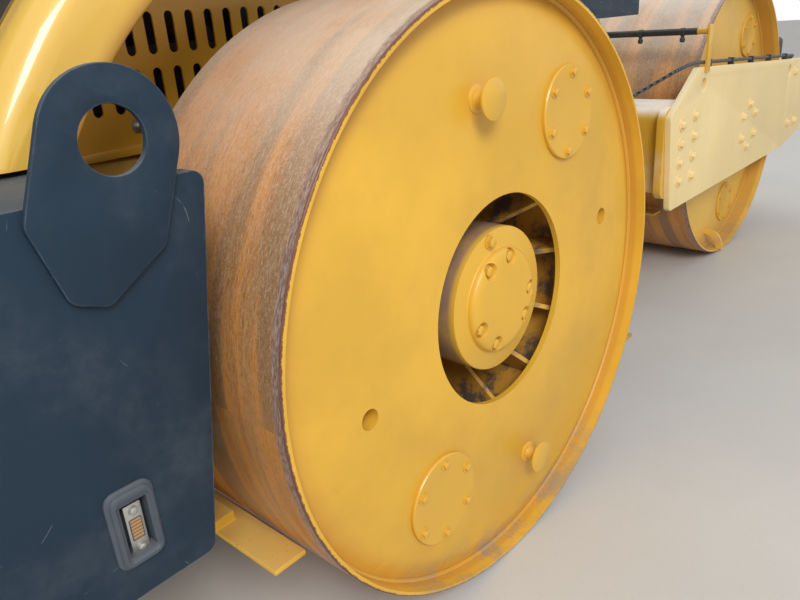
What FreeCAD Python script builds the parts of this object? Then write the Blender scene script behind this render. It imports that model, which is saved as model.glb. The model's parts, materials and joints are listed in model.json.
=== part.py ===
"""Static three-drum road roller with an articulated frame, at real size.

The machine stands on two tall rear drums, one each side of the rear frame, and one wide front drum
of the same diameter inside a rectangular front frame. The rear frame carries the tail box, the
tilting engine hood with its arched mudguards, the cab, the tanks and the rear axle.
Row frame: +X forward, +Y to the left, +Z up, origin on the floor below the middle of the machine.
Heights are measured from the floor and lengths from the rear axle, unless a name says otherwise.
"""
import FreeCAD
import Part
import math
import os
import re
import Sketcher

# name, size in millimetres or degrees or a count, what it is
SIZES = (
    ("tail_reach", 780, "rear drum to the machine's back"),
    ("half_width", 1160, "centre plane to the rear drums' outer plane"),
    ("running_gap", 0.3, "gap round shafts, pins and rods"),
    ("slide_gap", 6, "gap between the faces of pieces that move past each other"),
    # drums
    ("drum_radius", 800, "outer radius of all three drums"),
    ("shell_wall", 38, "thickness of the drums' rolled shell"),
    ("shell_edge", 5, "rounding of the shell's outer edges"),
    ("rim_wall", 12, "thickness of the shell where it stands past the discs"),
    ("rim_depth", 60, "outer plane to the rear disc at the shell"),
    ("disc_bend", 85, "shell's outer face to the bend of the rear disc"),
    ("rear_drum_width", 580, "tread width of one rear drum"),
    ("disc_recess", 36, "rear disc behind the shell's edge"),
    ("disc_plate", 16, "thickness of the disc at its opening"),
    ("disc_opening", 290, "radius of the disc's opening"),
    ("pocket_radius", 380, "radius of the pocket behind the disc"),
    ("web_depth", 330, "outer plane to the drum's web"),
    ("web_plate", 40, "thickness of the web"),
    ("rib_count", 11, "ribs between the hub and the pocket"),
    ("rib_plate", 14, "thickness of a rib"),
    ("rib_setback", 32, "rib's edge behind the disc's face"),
    ("rib_phase", 24.6, "turn of the first rib below the horizontal"),
    ("rib_shoulder", 330, "radius where the ribs' edges begin to slope in"),
    ("rib_hub_depth", 215, "outer plane to the ribs' edges at the hub"),
    ("rib_root", 4, "rib's inner edge outside the hub"),
    ("rib_bite", 6, "rib's depth inside the metal that it is welded to"),
    ("hub_radius", 200, "radius of the planetary hub"),
    ("hub_face", 56, "hub's face behind the outer plane"),
    ("hub_chamfer", 8, "chamfer of the hub's rim"),
    ("hub_cap_radius", 146, "radius of the cap on the hub"),
    ("hub_cap_rise", 25, "height of the cap"),
    ("hub_cap_chamfer", 10, "chamfer of the cap"),
    ("hub_bore", 110, "depth of the spindle's bore in the hub"),
    ("spindle_radius", 95, "radius of the axle's spindles"),
    ("fitting_out", 48, "shift of the fittings' circle out of the disc's middle"),
    ("fitting_angle", 10.6, "angle of the first drain hole above the horizontal"),
    ("fitting_step", 45.2, "angle from drain hole to cover and from cover to plug"),
    ("cover_radius", 127, "radius of a round cover"),
    ("cover_plate", 12, "thickness of a round cover"),
    ("drain_radius", 26, "radius of a drain hole"),
    ("drain_depth", 70, "depth of a drain hole"),
    ("plug_stem_radius", 20, "radius of a filler plug's stem"),
    ("plug_stem", 44, "length of a filler plug's stem"),
    ("plug_cap_radius", 48, "radius of a filler plug's cap"),
    ("plug_cap", 8, "thickness of a filler plug's cap"),
    ("front_drum_width", 1420, "tread width of the front drum"),
    ("front_recess", 105, "front disc behind the shell's edge"),
    ("shaft_radius", 90, "radius of the front drum's stub shafts"),
    ("shaft_bore", 260, "depth of a stub shaft's bore in the disc"),
    ("front_cover_inset", 200, "drum's edge to the circle of the front covers"),
    ("front_cover_angle", 52, "angle of the first front cover"),
    ("front_cover_count", 3, "covers on each front disc"),
    # rear axle and chassis
    ("axle_radius", 130, "radius of the rear axle's tubes"),
    ("bowl_radius", 235, "radius of the differential's bowl"),
    ("bowl_half", 210, "half the bowl's length"),
    ("bowl_slope", 90, "length of the bowl's slopes"),
    ("chassis_half", 330, "centre plane to the chassis plates' outer face"),
    ("chassis_plate", 32, "thickness of the chassis plates"),
    ("chassis_tail", 140, "rear drum to the chassis's end"),
    ("chassis_crown", 410, "steering joint to the chassis's top"),
    ("chassis_depth", 810, "height of the chassis plates"),
    ("chassis_rake", 150, "rise of the chassis's lower edge at the back"),
    ("chassis_rake_run", 260, "length of that rise"),
    ("chassis_nose", 150, "drop of the chassis's top at the front"),
    ("chassis_nose_run", 170, "length of that drop"),
    ("chassis_chin", 90, "rise of the chassis's bottom at the front"),
    ("chassis_chin_run", 190, "length of that rise"),
    ("cross_beam", 90, "thickness of the chassis's cross beams"),
    ("beam_bite", 2, "depth of a welded piece inside its neighbour"),
    ("deck_drop", 160, "chassis's top to the beams that carry the engine"),
    ("deck_beam", 120, "height of the beams that carry the engine"),
    ("deck_beam_rear", 620, "rear axle back to the rear engine beam"),
    ("deck_beam_fore", 345, "rear axle back to the front engine beam"),
    ("deck_beam_cab", 430, "rear axle to the beam below the cab"),
    ("engine_reach", 50, "rear drum to the engine block's end"),
    ("engine_length", 820, "length of the engine block"),
    ("engine_half", 240, "half the engine block's width"),
    ("engine_rise", 640, "height of the engine block"),
    # steering pivot, centre link and cylinders
    ("pivot_reach", 850, "rear drum to the steering pin"),
    ("pivot_rise", 30, "axles to the middle of the steering joint"),
    ("pivot_span", 420, "height between the outer faces of the yoke's lugs"),
    ("yoke_lug", 55, "thickness of a yoke lug"),
    ("yoke_reach", 220, "chassis's front end to the steering pivot"),
    ("yoke_root", 270, "half the width of a yoke lug at the chassis"),
    ("yoke_radius", 120, "radius of a yoke lug's end and of the knuckle"),
    ("pin_radius", 45, "radius of the steering pin"),
    ("pin_stand", 12, "pin's end beyond the yoke's lugs"),
    ("pin_head", 24, "pin's head beyond its shank"),
    ("pin_head_plate", 16, "thickness of the pin's head"),
    ("link_neck", 30, "knuckle to the oscillation journal"),
    ("link_half", 105, "half the width of the link's neck"),
    ("journal_radius", 90, "radius of the oscillation journal"),
    ("journal_shoulder", 20, "journal's shoulder beyond its radius"),
    ("journal_length", 150, "length of the oscillation journal"),
    ("housing_length", 140, "length of the oscillation bearing's housing"),
    ("housing_wall", 80, "wall of the bearing's housing"),
    ("steer_side", 220, "centre plane to the steering cylinders"),
    ("steer_base", 520, "steering pivot back to the barrels' pins"),
    ("arm_ahead", 60, "steering pivot to the rods' eyes"),
    ("arm_half", 30, "half the width of the link's arm plates"),
    ("barrel_radius", 42, "radius of the steering cylinders"),
    ("barrel_length", 385, "barrel's pin to the barrel's front end"),
    ("neck_length", 62, "barrel's pin to the barrel's tube"),
    ("neck_half", 26, "half the width of the barrel's neck"),
    ("bore_wall", 12, "barrel's neck to the start of its bore"),
    ("rod_radius", 22, "radius of the steering rods"),
    ("rod_length", 372, "rod's eye to the rod's inner end"),
    ("eye_radius", 38, "radius of a rod's eye"),
    ("eye_half", 20, "half the height of the cylinders' eyes"),
    ("eye_plate", 25, "thickness of the plates round an eye"),
    ("eye_pin_radius", 20, "radius of the cylinders' pins"),
    ("seat_half", 50, "half the length of a barrel's seat"),
    ("swing_room", 34, "room beside a barrel as it swings"),
    # tail box
    ("tail_inset", 120, "tail box's side inside the drums' outer plane"),
    ("tail_rise", 68, "chassis's top to the tail box's top"),
    ("tail_height", 745, "height of the tail box"),
    ("tail_gap", 120, "rear drum to the tail box's lower front edge"),
    ("tail_lean", 122, "tail box's upper front edge ahead of its lower one"),
    ("tail_chamfer", 110, "rise of the chamfer under the tail box's back"),
    ("tail_chamfer_run", 150, "length of that chamfer"),
    ("tail_step_run", 132, "length of the step in the tail box's upper front edge"),
    ("tail_step_drop", 76, "depth of that step"),
    ("tail_cheek", 40, "thickness of the tail box's sides beside the step"),
    ("tail_corner", 22, "rounding of the tail box's edges"),
    ("notch_gap", 6, "chassis plate to the tail box's notch"),
    ("lug_plate", 14, "thickness of a lifting lug"),
    ("lug_hole_radius", 55, "radius of a lifting lug's hole"),
    ("lug_radius", 115, "half the width of a lifting lug"),
    ("lug_shoulder", 152, "lug's hole down to where it narrows"),
    ("lug_tip", 262, "lug's hole down to its tip"),
    ("lug_tip_half", 32, "half the width of the lug's tip"),
    ("lug_corner", 26, "rounding of the lug's corners"),
    ("lug_setback", 157, "tail box's upper front edge back to the lug's hole"),
    ("lug_rise", 74, "tail box's top to the lug's hole"),
    ("lug_lean", 21, "forward lean of the lug"),
    ("marker_setback", 139, "tail box's lower front edge back to the marker lamp"),
    ("marker_rise", 149, "tail box's bottom to the marker lamp's middle"),
    ("marker_length", 78, "length of the marker lamp's recess"),
    ("marker_height", 146, "height of the marker lamp's recess"),
    ("marker_depth", 34, "depth of the marker lamp's recess"),
    ("marker_bar", 39, "width of the marker lamp"),
    ("marker_margin", 18, "marker lamp to the recess's top and bottom"),
    ("marker_body", 20, "thickness of the marker lamp"),
    ("tail_lamp_width", 260, "width of a tail lamp's recess"),
    ("tail_lamp_height", 120, "height of a tail lamp's recess"),
    ("tail_lamp_side", 110, "tail box's side to a tail lamp's recess"),
    ("tail_lamp_drop", 90, "tail box's top to a tail lamp's recess"),
    ("tail_lamp_depth", 34, "depth of a tail lamp's recess"),
    ("tail_lamp_body", 22, "thickness of a tail lamp"),
    ("tail_lamp_margin", 8, "tail lamp to the edges of its recess"),
    # slotted side panels
    ("panel_half", 344, "centre plane to the slotted panels' face"),
    ("panel_plate", 6, "thickness of the slotted panels"),
    ("panel_step", 10, "chassis's top to the slotted panels"),
    ("panel_height", 485, "height of the slotted panels"),
    ("panel_short", 40, "hood's front edge to the slotted panels' front"),
    ("slot_rise", 96, "slotted panel's bottom to the lowest slots"),
    ("slot_margin", 7, "slotted panels' length that is left beside the slots"),
    ("slot_width", 26, "width of a slot"),
    ("slot_height", 104, "height of a slot"),
    ("slot_row", 137, "distance between the rows of slots"),
    ("slot_inset", 44, "tail box's top corner to the last slot"),
    ("slot_columns", 16, "slots in a row"),
    ("slot_rows", 3, "rows of slots"),
    # hood and mudguards
    ("body_inset", 400, "mudguards' and cab's sides inside the drums' outer plane"),
    ("arch_gap", 220, "rear drum to the mudguard"),
    ("arch_band", 182, "width of the mudguard's face"),
    ("arch_liner", 26, "thickness of the mudguard's liner"),
    ("arch_slope", 42, "fall of the mudguard's face towards its edge"),
    ("arch_slope_run", 50, "width of that fall"),
    ("arch_round", 60, "rounding of the mudguard's edges"),
    ("arch_side_gap", 8, "slotted panel to the mudguard's liner"),
    ("hood_inset", 105, "hood's side inside the mudguards' sides"),
    ("hood_gap", 11, "tail box's top to the hood"),
    ("hood_sink", 48, "drum's radius less the hood's height"),
    ("hood_short", 575, "hood's front edge behind the drum's"),
    ("hood_setback", 90, "tail box's back to the hood's foot"),
    ("hood_rake", 40, "hood's foot to its shoulder, along the machine"),
    ("hood_shoulder", 300, "tail box's top to the hood's shoulder"),
    ("hood_slope", 150, "shoulder to the lower edge of the hood's slope"),
    ("hood_slope_drop", 130, "hood's top to the lower edge of its slope"),
    ("hood_slope_run", 160, "length of the hood's slope"),
    ("hood_skin", 24, "thickness of the hood's skin"),
    ("hood_corner", 90, "rounding of the hood's cross edges"),
    ("hinge_back", 26, "hood's foot back to the hinge pins"),
    ("hinge_rise", 24, "tail box's top to the hinge pins"),
    ("hinge_side", 400, "centre plane to the middle of a hinge"),
    ("hinge_pin_radius", 10, "radius of the hood's hinge pins"),
    ("hinge_pin_length", 70, "length of a hinge pin"),
    ("hinge_eye_radius", 18, "radius of a hinge's eyes"),
    ("hinge_eye", 14, "thickness of a hinge's eyes"),
    ("hinge_lug", 30, "thickness of the lug between a hinge's eyes"),
    ("hinge_lug_half", 17, "half the length of that lug"),
    ("hinge_lug_rise", 12, "lug's top above the pin"),
    ("grille_plate", 10, "thickness of the hood's side grilles"),
    ("grille_margin", 60, "side grille to the hood's lower and front edges"),
    ("grille_top_margin", 110, "side grille to the hood's top"),
    ("grille_rear", 120, "hood's foot to the side grille"),
    ("grille_slope", 150, "length of the side grille's sloping corner"),
    ("grille_arch_gap", 6, "mudguard to the side grille"),
    ("exhaust_back", 420, "rear axle back to the exhaust"),
    ("exhaust_side", 330, "centre plane to the exhaust"),
    ("exhaust_radius", 46, "radius of the exhaust pipe"),
    ("exhaust_wall", 8, "wall of the exhaust pipe"),
    ("exhaust_length", 330, "height of the exhaust above the hood"),
    ("exhaust_depth", 270, "depth of the exhaust's mouth"),
    ("exhaust_flange", 78, "radius of the exhaust's flange"),
    ("exhaust_flange_plate", 12, "thickness of that flange"),
    # cab
    ("cab_rise", 230, "chassis's top to the cab's bottom"),
    ("cab_gap", 37, "hood to the cab"),
    ("cab_length", 1288, "length of the cab"),
    ("cab_lean", 110, "windscreen's top behind its foot"),
    ("cab_height", 1540, "height of the cab's walls"),
    ("cab_wall", 40, "thickness of the cab's walls"),
    ("cab_deck", 60, "thickness of the cab's floor"),
    ("cab_arch_gap", 20, "cab's arch beyond the mudguard's inner radius"),
    ("cab_well_half", 320, "half the width of the cab's middle, which isn't cut for the drums"),
    ("sill_height", 520, "cab's bottom to its windows"),
    ("cab_header", 90, "cab's windows to its roof"),
    ("screen_sill", 20, "windscreen's foot below the side windows"),
    ("screen_margin", 100, "windscreen to the cab's sides"),
    ("rear_glass_rise", 120, "rear window's foot above the side windows"),
    ("rear_glass_margin", 130, "rear window to the cab's sides"),
    ("side_glass_margin", 90, "side window to the cab's rear"),
    ("side_glass_post", 60, "side window to the door"),
    ("knee_drop", 60, "windows' foot to the windscreen's knee"),
    ("roof_rise", 115, "thickness of the cab's roof"),
    ("roof_reach", 90, "roof ahead of the windscreen"),
    ("roof_rear_reach", 45, "roof behind the cab"),
    ("roof_corner", 110, "rounding of the roof's corners"),
    ("glass", 8, "thickness of the glass"),
    ("door_setback", 568, "cab's rear to the door"),
    ("door_width", 595, "width of the door"),
    ("door_step", 90, "cab's bottom to the door"),
    ("door_header", 65, "door to the roof"),
    ("door_plate", 36, "thickness of the door"),
    ("door_axis_out", 14, "cab's side out to the door's hinge line"),
    ("door_pin_radius", 6, "radius of the door's hinge pins"),
    ("knuckle_radius", 12, "radius of the door's hinge knuckles"),
    ("knuckle_length", 50, "length of a hinge knuckle"),
    ("leaf_plate", 8, "thickness of the hinge leaves"),
    ("door_hinge_low", 140, "door's foot to its lower hinge"),
    ("door_hinge_high", 225, "door's head to its upper hinge"),
    ("door_rail", 62, "width of the door's frame"),
    ("door_panel", 300, "height of the door's lower panel"),
    ("support_rear", 578, "cab's rear to the first support beam"),
    ("support_pitch", 320, "distance between the support beams"),
    ("support_beam", 100, "width of the support beams"),
    ("support_depth", 90, "height of the support beams"),
    ("support_inset", 40, "support beams' ends inside the cab's sides"),
    ("post_side", 90, "thickness of the support posts"),
    ("mount_radius", 46, "radius of the rubber mounts"),
    ("mount_height", 40, "height of the rubber mounts"),
    ("mount_inset", 110, "rubber mounts inside the cab's sides"),
    ("seat_back", 378, "cab's rear to the seat"),
    ("seat_size", 500, "length and width of the seat's cushion"),
    ("seat_foot", 300, "length and width of the seat's pedestal"),
    ("seat_rise", 390, "cab's floor to the seat's cushion"),
    ("cushion", 120, "thickness of the seat's cushion and backrest"),
    ("backrest", 570, "height of the backrest"),
    ("console_front", 160, "cab's front to the console"),
    ("console_depth", 160, "length of the console"),
    ("console_top", 70, "length of the console's sloping top"),
    ("console_foot", 40, "console's foot ahead of its upper rear edge"),
    ("console_drop", 100, "console's rear edge to its front edge, down"),
    ("console_height", 740, "height of the console's rear edge"),
    ("console_half", 150, "half the console's width"),
    ("wheel_lean", 35, "lean of the steering wheel"),
    ("wheel_radius", 195, "radius of the steering wheel"),
    ("wheel_rim", 15, "radius of the steering wheel's rim"),
    ("wheel_spoke", 36, "width of the steering wheel's spoke"),
    ("wheel_spoke_plate", 14, "thickness of the spoke"),
    ("wheel_boss", 45, "radius and depth of the wheel's boss"),
    ("column_radius", 26, "radius of the steering column"),
    ("column_length", 130, "console to the steering wheel"),
    ("lamp_width", 120, "width of a roof lamp"),
    ("lamp_height", 96, "height of a roof lamp"),
    ("lamp_depth", 56, "depth of a roof lamp"),
    ("lamp_inset", 130, "roof lamps inside the cab's sides"),
    ("lamp_setback", 60, "roof lamps behind the roof's front edge"),
    ("beacon_radius", 62, "radius of the beacon"),
    ("beacon_height", 140, "height of the beacon"),
    ("beacon_back", 260, "cab's rear to the beacon"),
    ("beacon_side", 430, "centre plane to the beacon"),
    ("rail_radius", 15, "radius of the handrails"),
    ("rail_arm_radius", 12, "radius of the handrails' arms"),
    ("rail_length", 880, "length of the handrails"),
    ("rail_out", 70, "handrails outside the cab's side"),
    ("rail_ahead", 40, "door to the handrails"),
    ("rail_rise", 120, "cab's bottom to the handrails"),
    ("rail_foot", 60, "handrail's end to its foot"),
    ("mirror_reach", 240, "length of a mirror's arm"),
    ("mirror_arm", 11, "radius of a mirror's arm"),
    ("mirror_width", 180, "width of a mirror"),
    ("mirror_height", 290, "height of a mirror"),
    ("mirror_depth", 42, "depth of a mirror"),
    ("mirror_drop", 160, "windows' top to a mirror's arm"),
    ("mirror_rise", 30, "mirror's top above its arm"),
    ("mirror_back", 8, "windscreen's top to a mirror's arm"),
    # tanks and steps
    ("tank_gap", 60, "rear drum to the tanks"),
    ("tank_length", 340, "length of the tanks"),
    ("tank_inset", 20, "tanks' sides inside the cab's sides"),
    ("tank_drop", 140, "cab's bottom to the tanks' top"),
    ("tank_height", 690, "height of the tanks"),
    ("tank_chamfer", 70, "chamfer of the tanks' lower edge"),
    ("tank_corner", 34, "rounding of the tanks' edges"),
    ("step_length", 230, "length of a step along the machine"),
    ("step_depth", 190, "steps' depth across the machine"),
    ("step_low", 470, "height of the lowest step"),
    ("step_rise", 330, "height between two steps"),
    ("step_count", 3, "steps on each side"),
    ("step_plate", 34, "thickness of a step"),
    ("hanger_plate", 14, "thickness of the steps' hangers"),
    ("hanger_width", 80, "width of the steps' hangers"),
    # rear drums' scrapers
    ("scraper_height", 400, "top of the scraper blades"),
    ("scraper_gap", 7, "tread to scraper blade"),
    ("scraper_blade", 92, "width of a scraper blade"),
    ("scraper_plate", 14, "thickness of a scraper blade"),
    ("holder_plate", 26, "thickness of the blades' holders"),
    ("blade_inset", 125, "rear blade's end inside the drum's outer plane"),
    ("blade_end", 20, "fore blade's end inside the drum's outer plane"),
    ("holder_inset", 350, "rear holder's end inside the drum's outer plane"),
    ("holder_length", 260, "length of a holder outside its blade"),
    ("holder_setback", 34, "blade's scraping edge to its holder"),
    ("holder_width", 160, "width of a fore holder"),
    ("post_length", 60, "length of the posts that hold the scrapers"),
    ("post_width", 110, "width of the posts that hold the scrapers"),
    # front frame
    ("beam_gap", 56, "front drum to the cross beams"),
    ("beam_length", 318, "length of the front frame's cross beams"),
    ("beam_crown", 238, "steering joint to the front beams' top"),
    ("beam_height", 448, "height of the cross beams"),
    ("rear_beam_drop", 32, "rear cross beam's top below the front one's"),
    ("rear_beam_round", 70, "rounding of the rear cross beam's upper rear edge"),
    ("flange_back", 50, "end flanges behind the rear cross beam"),
    ("flange_round", 60, "rounding of the end flanges' rear corners"),
    ("beam_flange", 36, "thickness of the cross beams' end flanges"),
    ("flange_step", 26, "rear flange below the cross beam"),
    ("beam_slope", 80, "rise of the front beam's sloping underside"),
    ("beam_slope_run", 210, "length of that slope"),
    ("side_gap", 50, "front drum's end to the side plates"),
    ("side_plate", 30, "thickness of the side plates"),
    ("plate_lip", 6, "side plates beyond the cross beams"),
    ("plate_rise", 130, "cross beams' top to the side plates' top"),
    ("plate_drop", 76, "cross beams' bottom to the side plates' lower rear corner"),
    ("plate_belly", 14, "lower rear corner to the side plates' bottom"),
    ("plate_cheek", 70, "cross beams' top to the lower end of the side plates' rear slope"),
    ("plate_slope", 3.42, "fall of the side plates' top edge towards the front"),
    ("plate_brow", 120, "side plates' front end to the end of their top edge"),
    ("plate_jaw", 110, "height of the side plates' front slope"),
    ("plate_back", 46, "side plates' rear end behind the rear cross beam"),
    ("plate_shoulder", 310, "side plates' rear end to the end of their top edge"),
    ("plate_heel", 54, "side plates' end to their lower rear corner"),
    ("plate_toe", 50, "lower rear corner up to the front chamfer"),
    ("plate_toe_run", 480, "length of the front chamfer"),
    ("plate_toe_step", 30, "side plates' end to the front chamfer's top"),
    ("plate_corner", 28, "rounding of the side plates' corners"),
    ("tie_radius", 36, "radius of the holes in the side plates"),
    ("tie_rear", 827, "front axle back to the rear hole"),
    ("tie_rear_drop", 88, "side plates' top edge to the rear hole"),
    ("tie_fore", 706, "front axle to the front hole"),
    ("tie_fore_drop", 71, "side plates' top edge to the front hole"),
    ("stub_flange", 210, "radius of the stub shafts' flanges"),
    ("stub_boss", 150, "radius of the stub shafts' bosses"),
    ("stub_gap", 10, "stub flange to the drum"),
    ("bar_back", 820, "front axle back to the spray bar"),
    ("bar_rise", 164, "side plates' top to the spray bar"),
    ("bar_radius", 15, "radius of the spray bar"),
    ("bracket_width", 44, "width of the spray bar's brackets"),
    ("bracket_plate", 12, "thickness of the spray bar's brackets"),
    ("bracket_foot", 30, "brackets below the side plates' top"),
    ("cable_radius", 9, "radius of the lamp cable"),
    ("cable_tilt", 31.7, "slope of the lamp cable's plane across the machine"),
    ("cable_turn", 80, "turn of the cable where it leaves the side plate's rear end"),
    ("cable_bend", 110, "radius of the cable's turns"),
    ("cable_lead", 120, "front drum's edge to the cable's rear turn"),
    ("cable_short", 30, "cable's front turn behind the drum's edge"),
    ("cable_rise", 22, "side plate's top to the middle of the cable"),
    ("cable_tail", 239, "length of the cable's straight rear end"),
    ("cable_fore_turn", 35, "turn of the cable where it leaves the side plate's front end"),
    ("cable_fore_tail", 68, "length of the cable's straight front end"),
    ("clip_length", 20, "length of a cable clip"),
    ("clip_wall", 5, "wall of a cable clip"),
    ("clip_count", 5, "clips along the side plate"),
    ("gland_radius", 20, "radius of the cable's glands"),
    ("gland_height", 46, "height of the cable's glands"),
    ("bumper_depth", 86, "depth of the bumper"),
    ("bumper_half", 520, "half the bumper's width"),
    ("bumper_height", 300, "height of the bumper"),
    ("bumper_rise", 90, "front beam's bottom to the bumper"),
    ("head_lamp_side", 520, "centre plane to a head lamp"),
    ("head_lamp_width", 200, "width of a head lamp"),
    ("head_lamp_height", 150, "height of a head lamp"),
    ("head_lamp_depth", 90, "depth of a head lamp"),
    ("head_lamp_setback", 54, "front beam's face to a head lamp"),
    ("front_blade_inset", 150, "front blades' ends inside the drum's ends"),
    ("front_arm_side", 390, "centre plane to the front blades' arms"),
    ("front_arm_end", 100, "cross beams' inner face to the ends of the arms"),
    ("front_arm_width", 80, "width of the front blades' arms"),
)

# Places and sizes that follow from the ones above
DERIVED = {
    "chassis_rear": "drum_radius + chassis_tail",
    "engine_back": "drum_radius + engine_reach",
    "panel_ahead": "hood_front - panel_short",
    "slot_back": "tail_front_top - slot_inset",
    "slot_pitch": "(tail_front_top + panel_ahead - slot_margin) / slot_columns",
    "rear_overhang": "drum_radius + tail_reach",
    "pivot_ahead": "drum_radius + pivot_reach",
    "pivot_height": "drum_radius + pivot_rise",
    "chassis_top": "pivot_height + chassis_crown",
    "tail_top": "chassis_top + tail_rise",
    "beam_top": "pivot_height + beam_crown",
    "hood_front": "drum_radius - hood_short",
    "hood_height": "drum_radius - hood_sink",
    "fitting_circle": "(drum_radius - shell_wall + disc_opening + fitting_out) / 2",
    "front_cover_circle": "drum_radius - front_cover_inset",
    "cable_start": "drum_radius + cable_lead",
    "cable_reach": "drum_radius - cable_short",
    "body_half": "half_width - body_inset",
    "hood_half": "body_half - hood_inset",
    "link_reach": "yoke_radius + link_neck",
    "beam_face": "drum_radius + beam_gap",
    "beam_end": "beam_face + beam_length",
    "plate_half": "beam_end + plate_lip",
    "front_overhang": "beam_end + bumper_depth",
    "wheelbase": "pivot_ahead + link_reach + slide_gap + housing_length + beam_end",
    "rear_x": "(rear_overhang - wheelbase - front_overhang) / 2",
    "front_x": "rear_x + wheelbase",
    "pivot_x": "rear_x + pivot_ahead",
    "chassis_front": "pivot_ahead - yoke_reach",
    "chassis_floor": "chassis_top - chassis_depth",
    "deck_height": "chassis_top - deck_drop",
    "tail_floor": "tail_top - tail_height",
    "tail_front_low": "drum_radius + tail_gap",
    "tail_front_top": "tail_front_low - tail_lean",
    "tail_half": "half_width - tail_inset",
    "arch_radius": "drum_radius + arch_gap",
    "arch_outer": "arch_radius + arch_band",
    "hood_foot": "tail_top + hood_gap",
    "hood_top": "tail_top + hood_height",
    "hood_back": "rear_overhang - hood_setback",
    "panel_floor": "chassis_top + panel_step",
    "cab_floor": "chassis_top + cab_rise",
    "cab_inside": "cab_floor + cab_deck",
    "cab_rear": "hood_front + cab_gap",
    "cab_front": "cab_rear + cab_length",
    "cab_brow": "cab_front - cab_lean",
    "cab_eave": "cab_floor + cab_height",
    "cab_roof_top": "cab_eave + roof_rise",
    "cab_sill": "cab_floor + sill_height",
    "cab_lintel": "cab_eave - cab_header",
    "screen_foot": "cab_sill - screen_sill",
    "knee": "cab_sill - knee_drop",
    "door_rear": "cab_rear + door_setback",
    "door_front": "door_rear + door_width",
    "door_foot": "cab_floor + door_step",
    "door_head": "cab_eave - door_header",
    "door_axis": "rear_x + door_rear - slide_gap / 2",
    "console_face": "cab_front - console_front",
    "console_back": "console_face - console_depth",
    "tank_rear": "drum_radius + tank_gap",
    "tank_top": "cab_floor - tank_drop",
    "tank_floor": "tank_top - tank_height",
    "beam_floor": "beam_top - beam_height",
    "frame_half": "front_drum_width / 2 + side_gap",
    "plate_top": "beam_top + plate_rise",
    "plate_floor": "beam_floor - plate_drop",
    "plate_tail": "beam_end + plate_back",
    "rear_beam_top": "beam_top - rear_beam_drop",
    "arm_tip": "beam_face + front_arm_end",
    "blade_run": "sqrt(drum_radius * drum_radius - (drum_radius - scraper_height) ^ 2) + scraper_gap",
}

doc = FreeCAD.newDocument("three_drum_roller")
sheet = doc.addObject("Spreadsheet::Sheet", "Sizes")
for row, (alias, number, note) in enumerate(SIZES, 1):
    sheet.set(f"A{row}", alias)
    sheet.set(f"B{row}", str(number))
    sheet.set(f"C{row}", note)
    sheet.setAlias(f"B{row}", alias)
doc.recompute()
ALIASES = {alias for alias, _, _ in SIZES}
TOP_VIEW, SIDE_VIEW, FRONT_VIEW = "XY_Plane", "XZ_Plane", "YZ_Plane"
nodes = []


def ref(text):
    """An expression of the sheet's aliases and the derived sizes, as FreeCAD reads it."""
    def replaced(word):
        name = word.group(0)
        if name in DERIVED:
            return f"({ref(DERIVED[name])})"
        return f"Sizes.{name}" if name in ALIASES else name
    return re.sub(r"[a-z_][a-z0-9_]*", replaced, str(text))


def size(alias):
    """A driving dimension's number."""
    return float(getattr(sheet, alias))


def bind(thing, **sizes):
    for name, text in sizes.items():
        thing.setExpression(name, ref(text))
    return thing


def place(thing, x="0", y="0", z="0"):
    for axis, text in zip("xyz", (x, y, z)):
        thing.setExpression(f"Placement.Base.{axis}", ref(text))
    return thing


def turn(thing, axis, angle):
    """Turns a piece about an axis through its own origin by an angle from the sheet."""
    thing.Placement = FreeCAD.Placement(FreeCAD.Vector(), FreeCAD.Rotation(FreeCAD.Vector(*axis), 1))
    return bind(thing, **{"Placement.Rotation.Angle": angle})


def node(label, thing):
    """Registers a finished piece under its own name."""
    thing.Label = label
    nodes.append((label, thing))
    return thing


def block(name, x, y, z, length, width, height):
    """A box whose low corner is x, y, z."""
    made = doc.addObject("Part::Box", name)
    bind(made, Length=length, Width=width, Height=height)
    return place(made, x, y, z)


def rod(name, radius, length, x, y, z, along="Y"):
    """A round bar that starts at x, y, z and runs along an axis."""
    made = doc.addObject("Part::Cylinder", name)
    bind(made, Radius=radius, Height=length)
    turns = {"X": ((0, 1, 0), 90), "Y": ((1, 0, 0), -90), "Z": ((0, 0, 1), 0)}
    axis, angle = turns[along]
    made.Placement = FreeCAD.Placement(FreeCAD.Vector(), FreeCAD.Rotation(FreeCAD.Vector(*axis), angle))
    return place(made, x, y, z)


def union(name, *parts):
    made = doc.addObject("Part::MultiFuse", name)
    made.Shapes = list(parts)
    made.Refine = True
    return made


def cut(name, base, *tools):
    for step, tool in enumerate(tools):
        made = doc.addObject("Part::Cut", f"{name}_{step}")
        made.Base, made.Tool = base, tool
        made.Refine = True
        base = made
    return base


def common(name, base, tool):
    made = doc.addObject("Part::Common", name)
    made.Base, made.Tool = base, tool
    return made


def mirror(name, source):
    """The same piece on the machine's other side."""
    made = doc.addObject("Part::Mirroring", name)
    made.Source = source
    made.Normal = FreeCAD.Vector(0, 1, 0)
    return made


def pair(label, source):
    """A right-hand piece and its left-hand mirror as one node of two solids, or as one fused solid."""
    return node(label, union(f"{label}_pair", source, mirror(f"{label}_left", source)))


def sides(label, source):
    """A right-hand node and a left-hand node."""
    node(f"{label}_right", source)
    return node(f"{label}_left", mirror(f"{label}_mirror", source))


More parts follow.
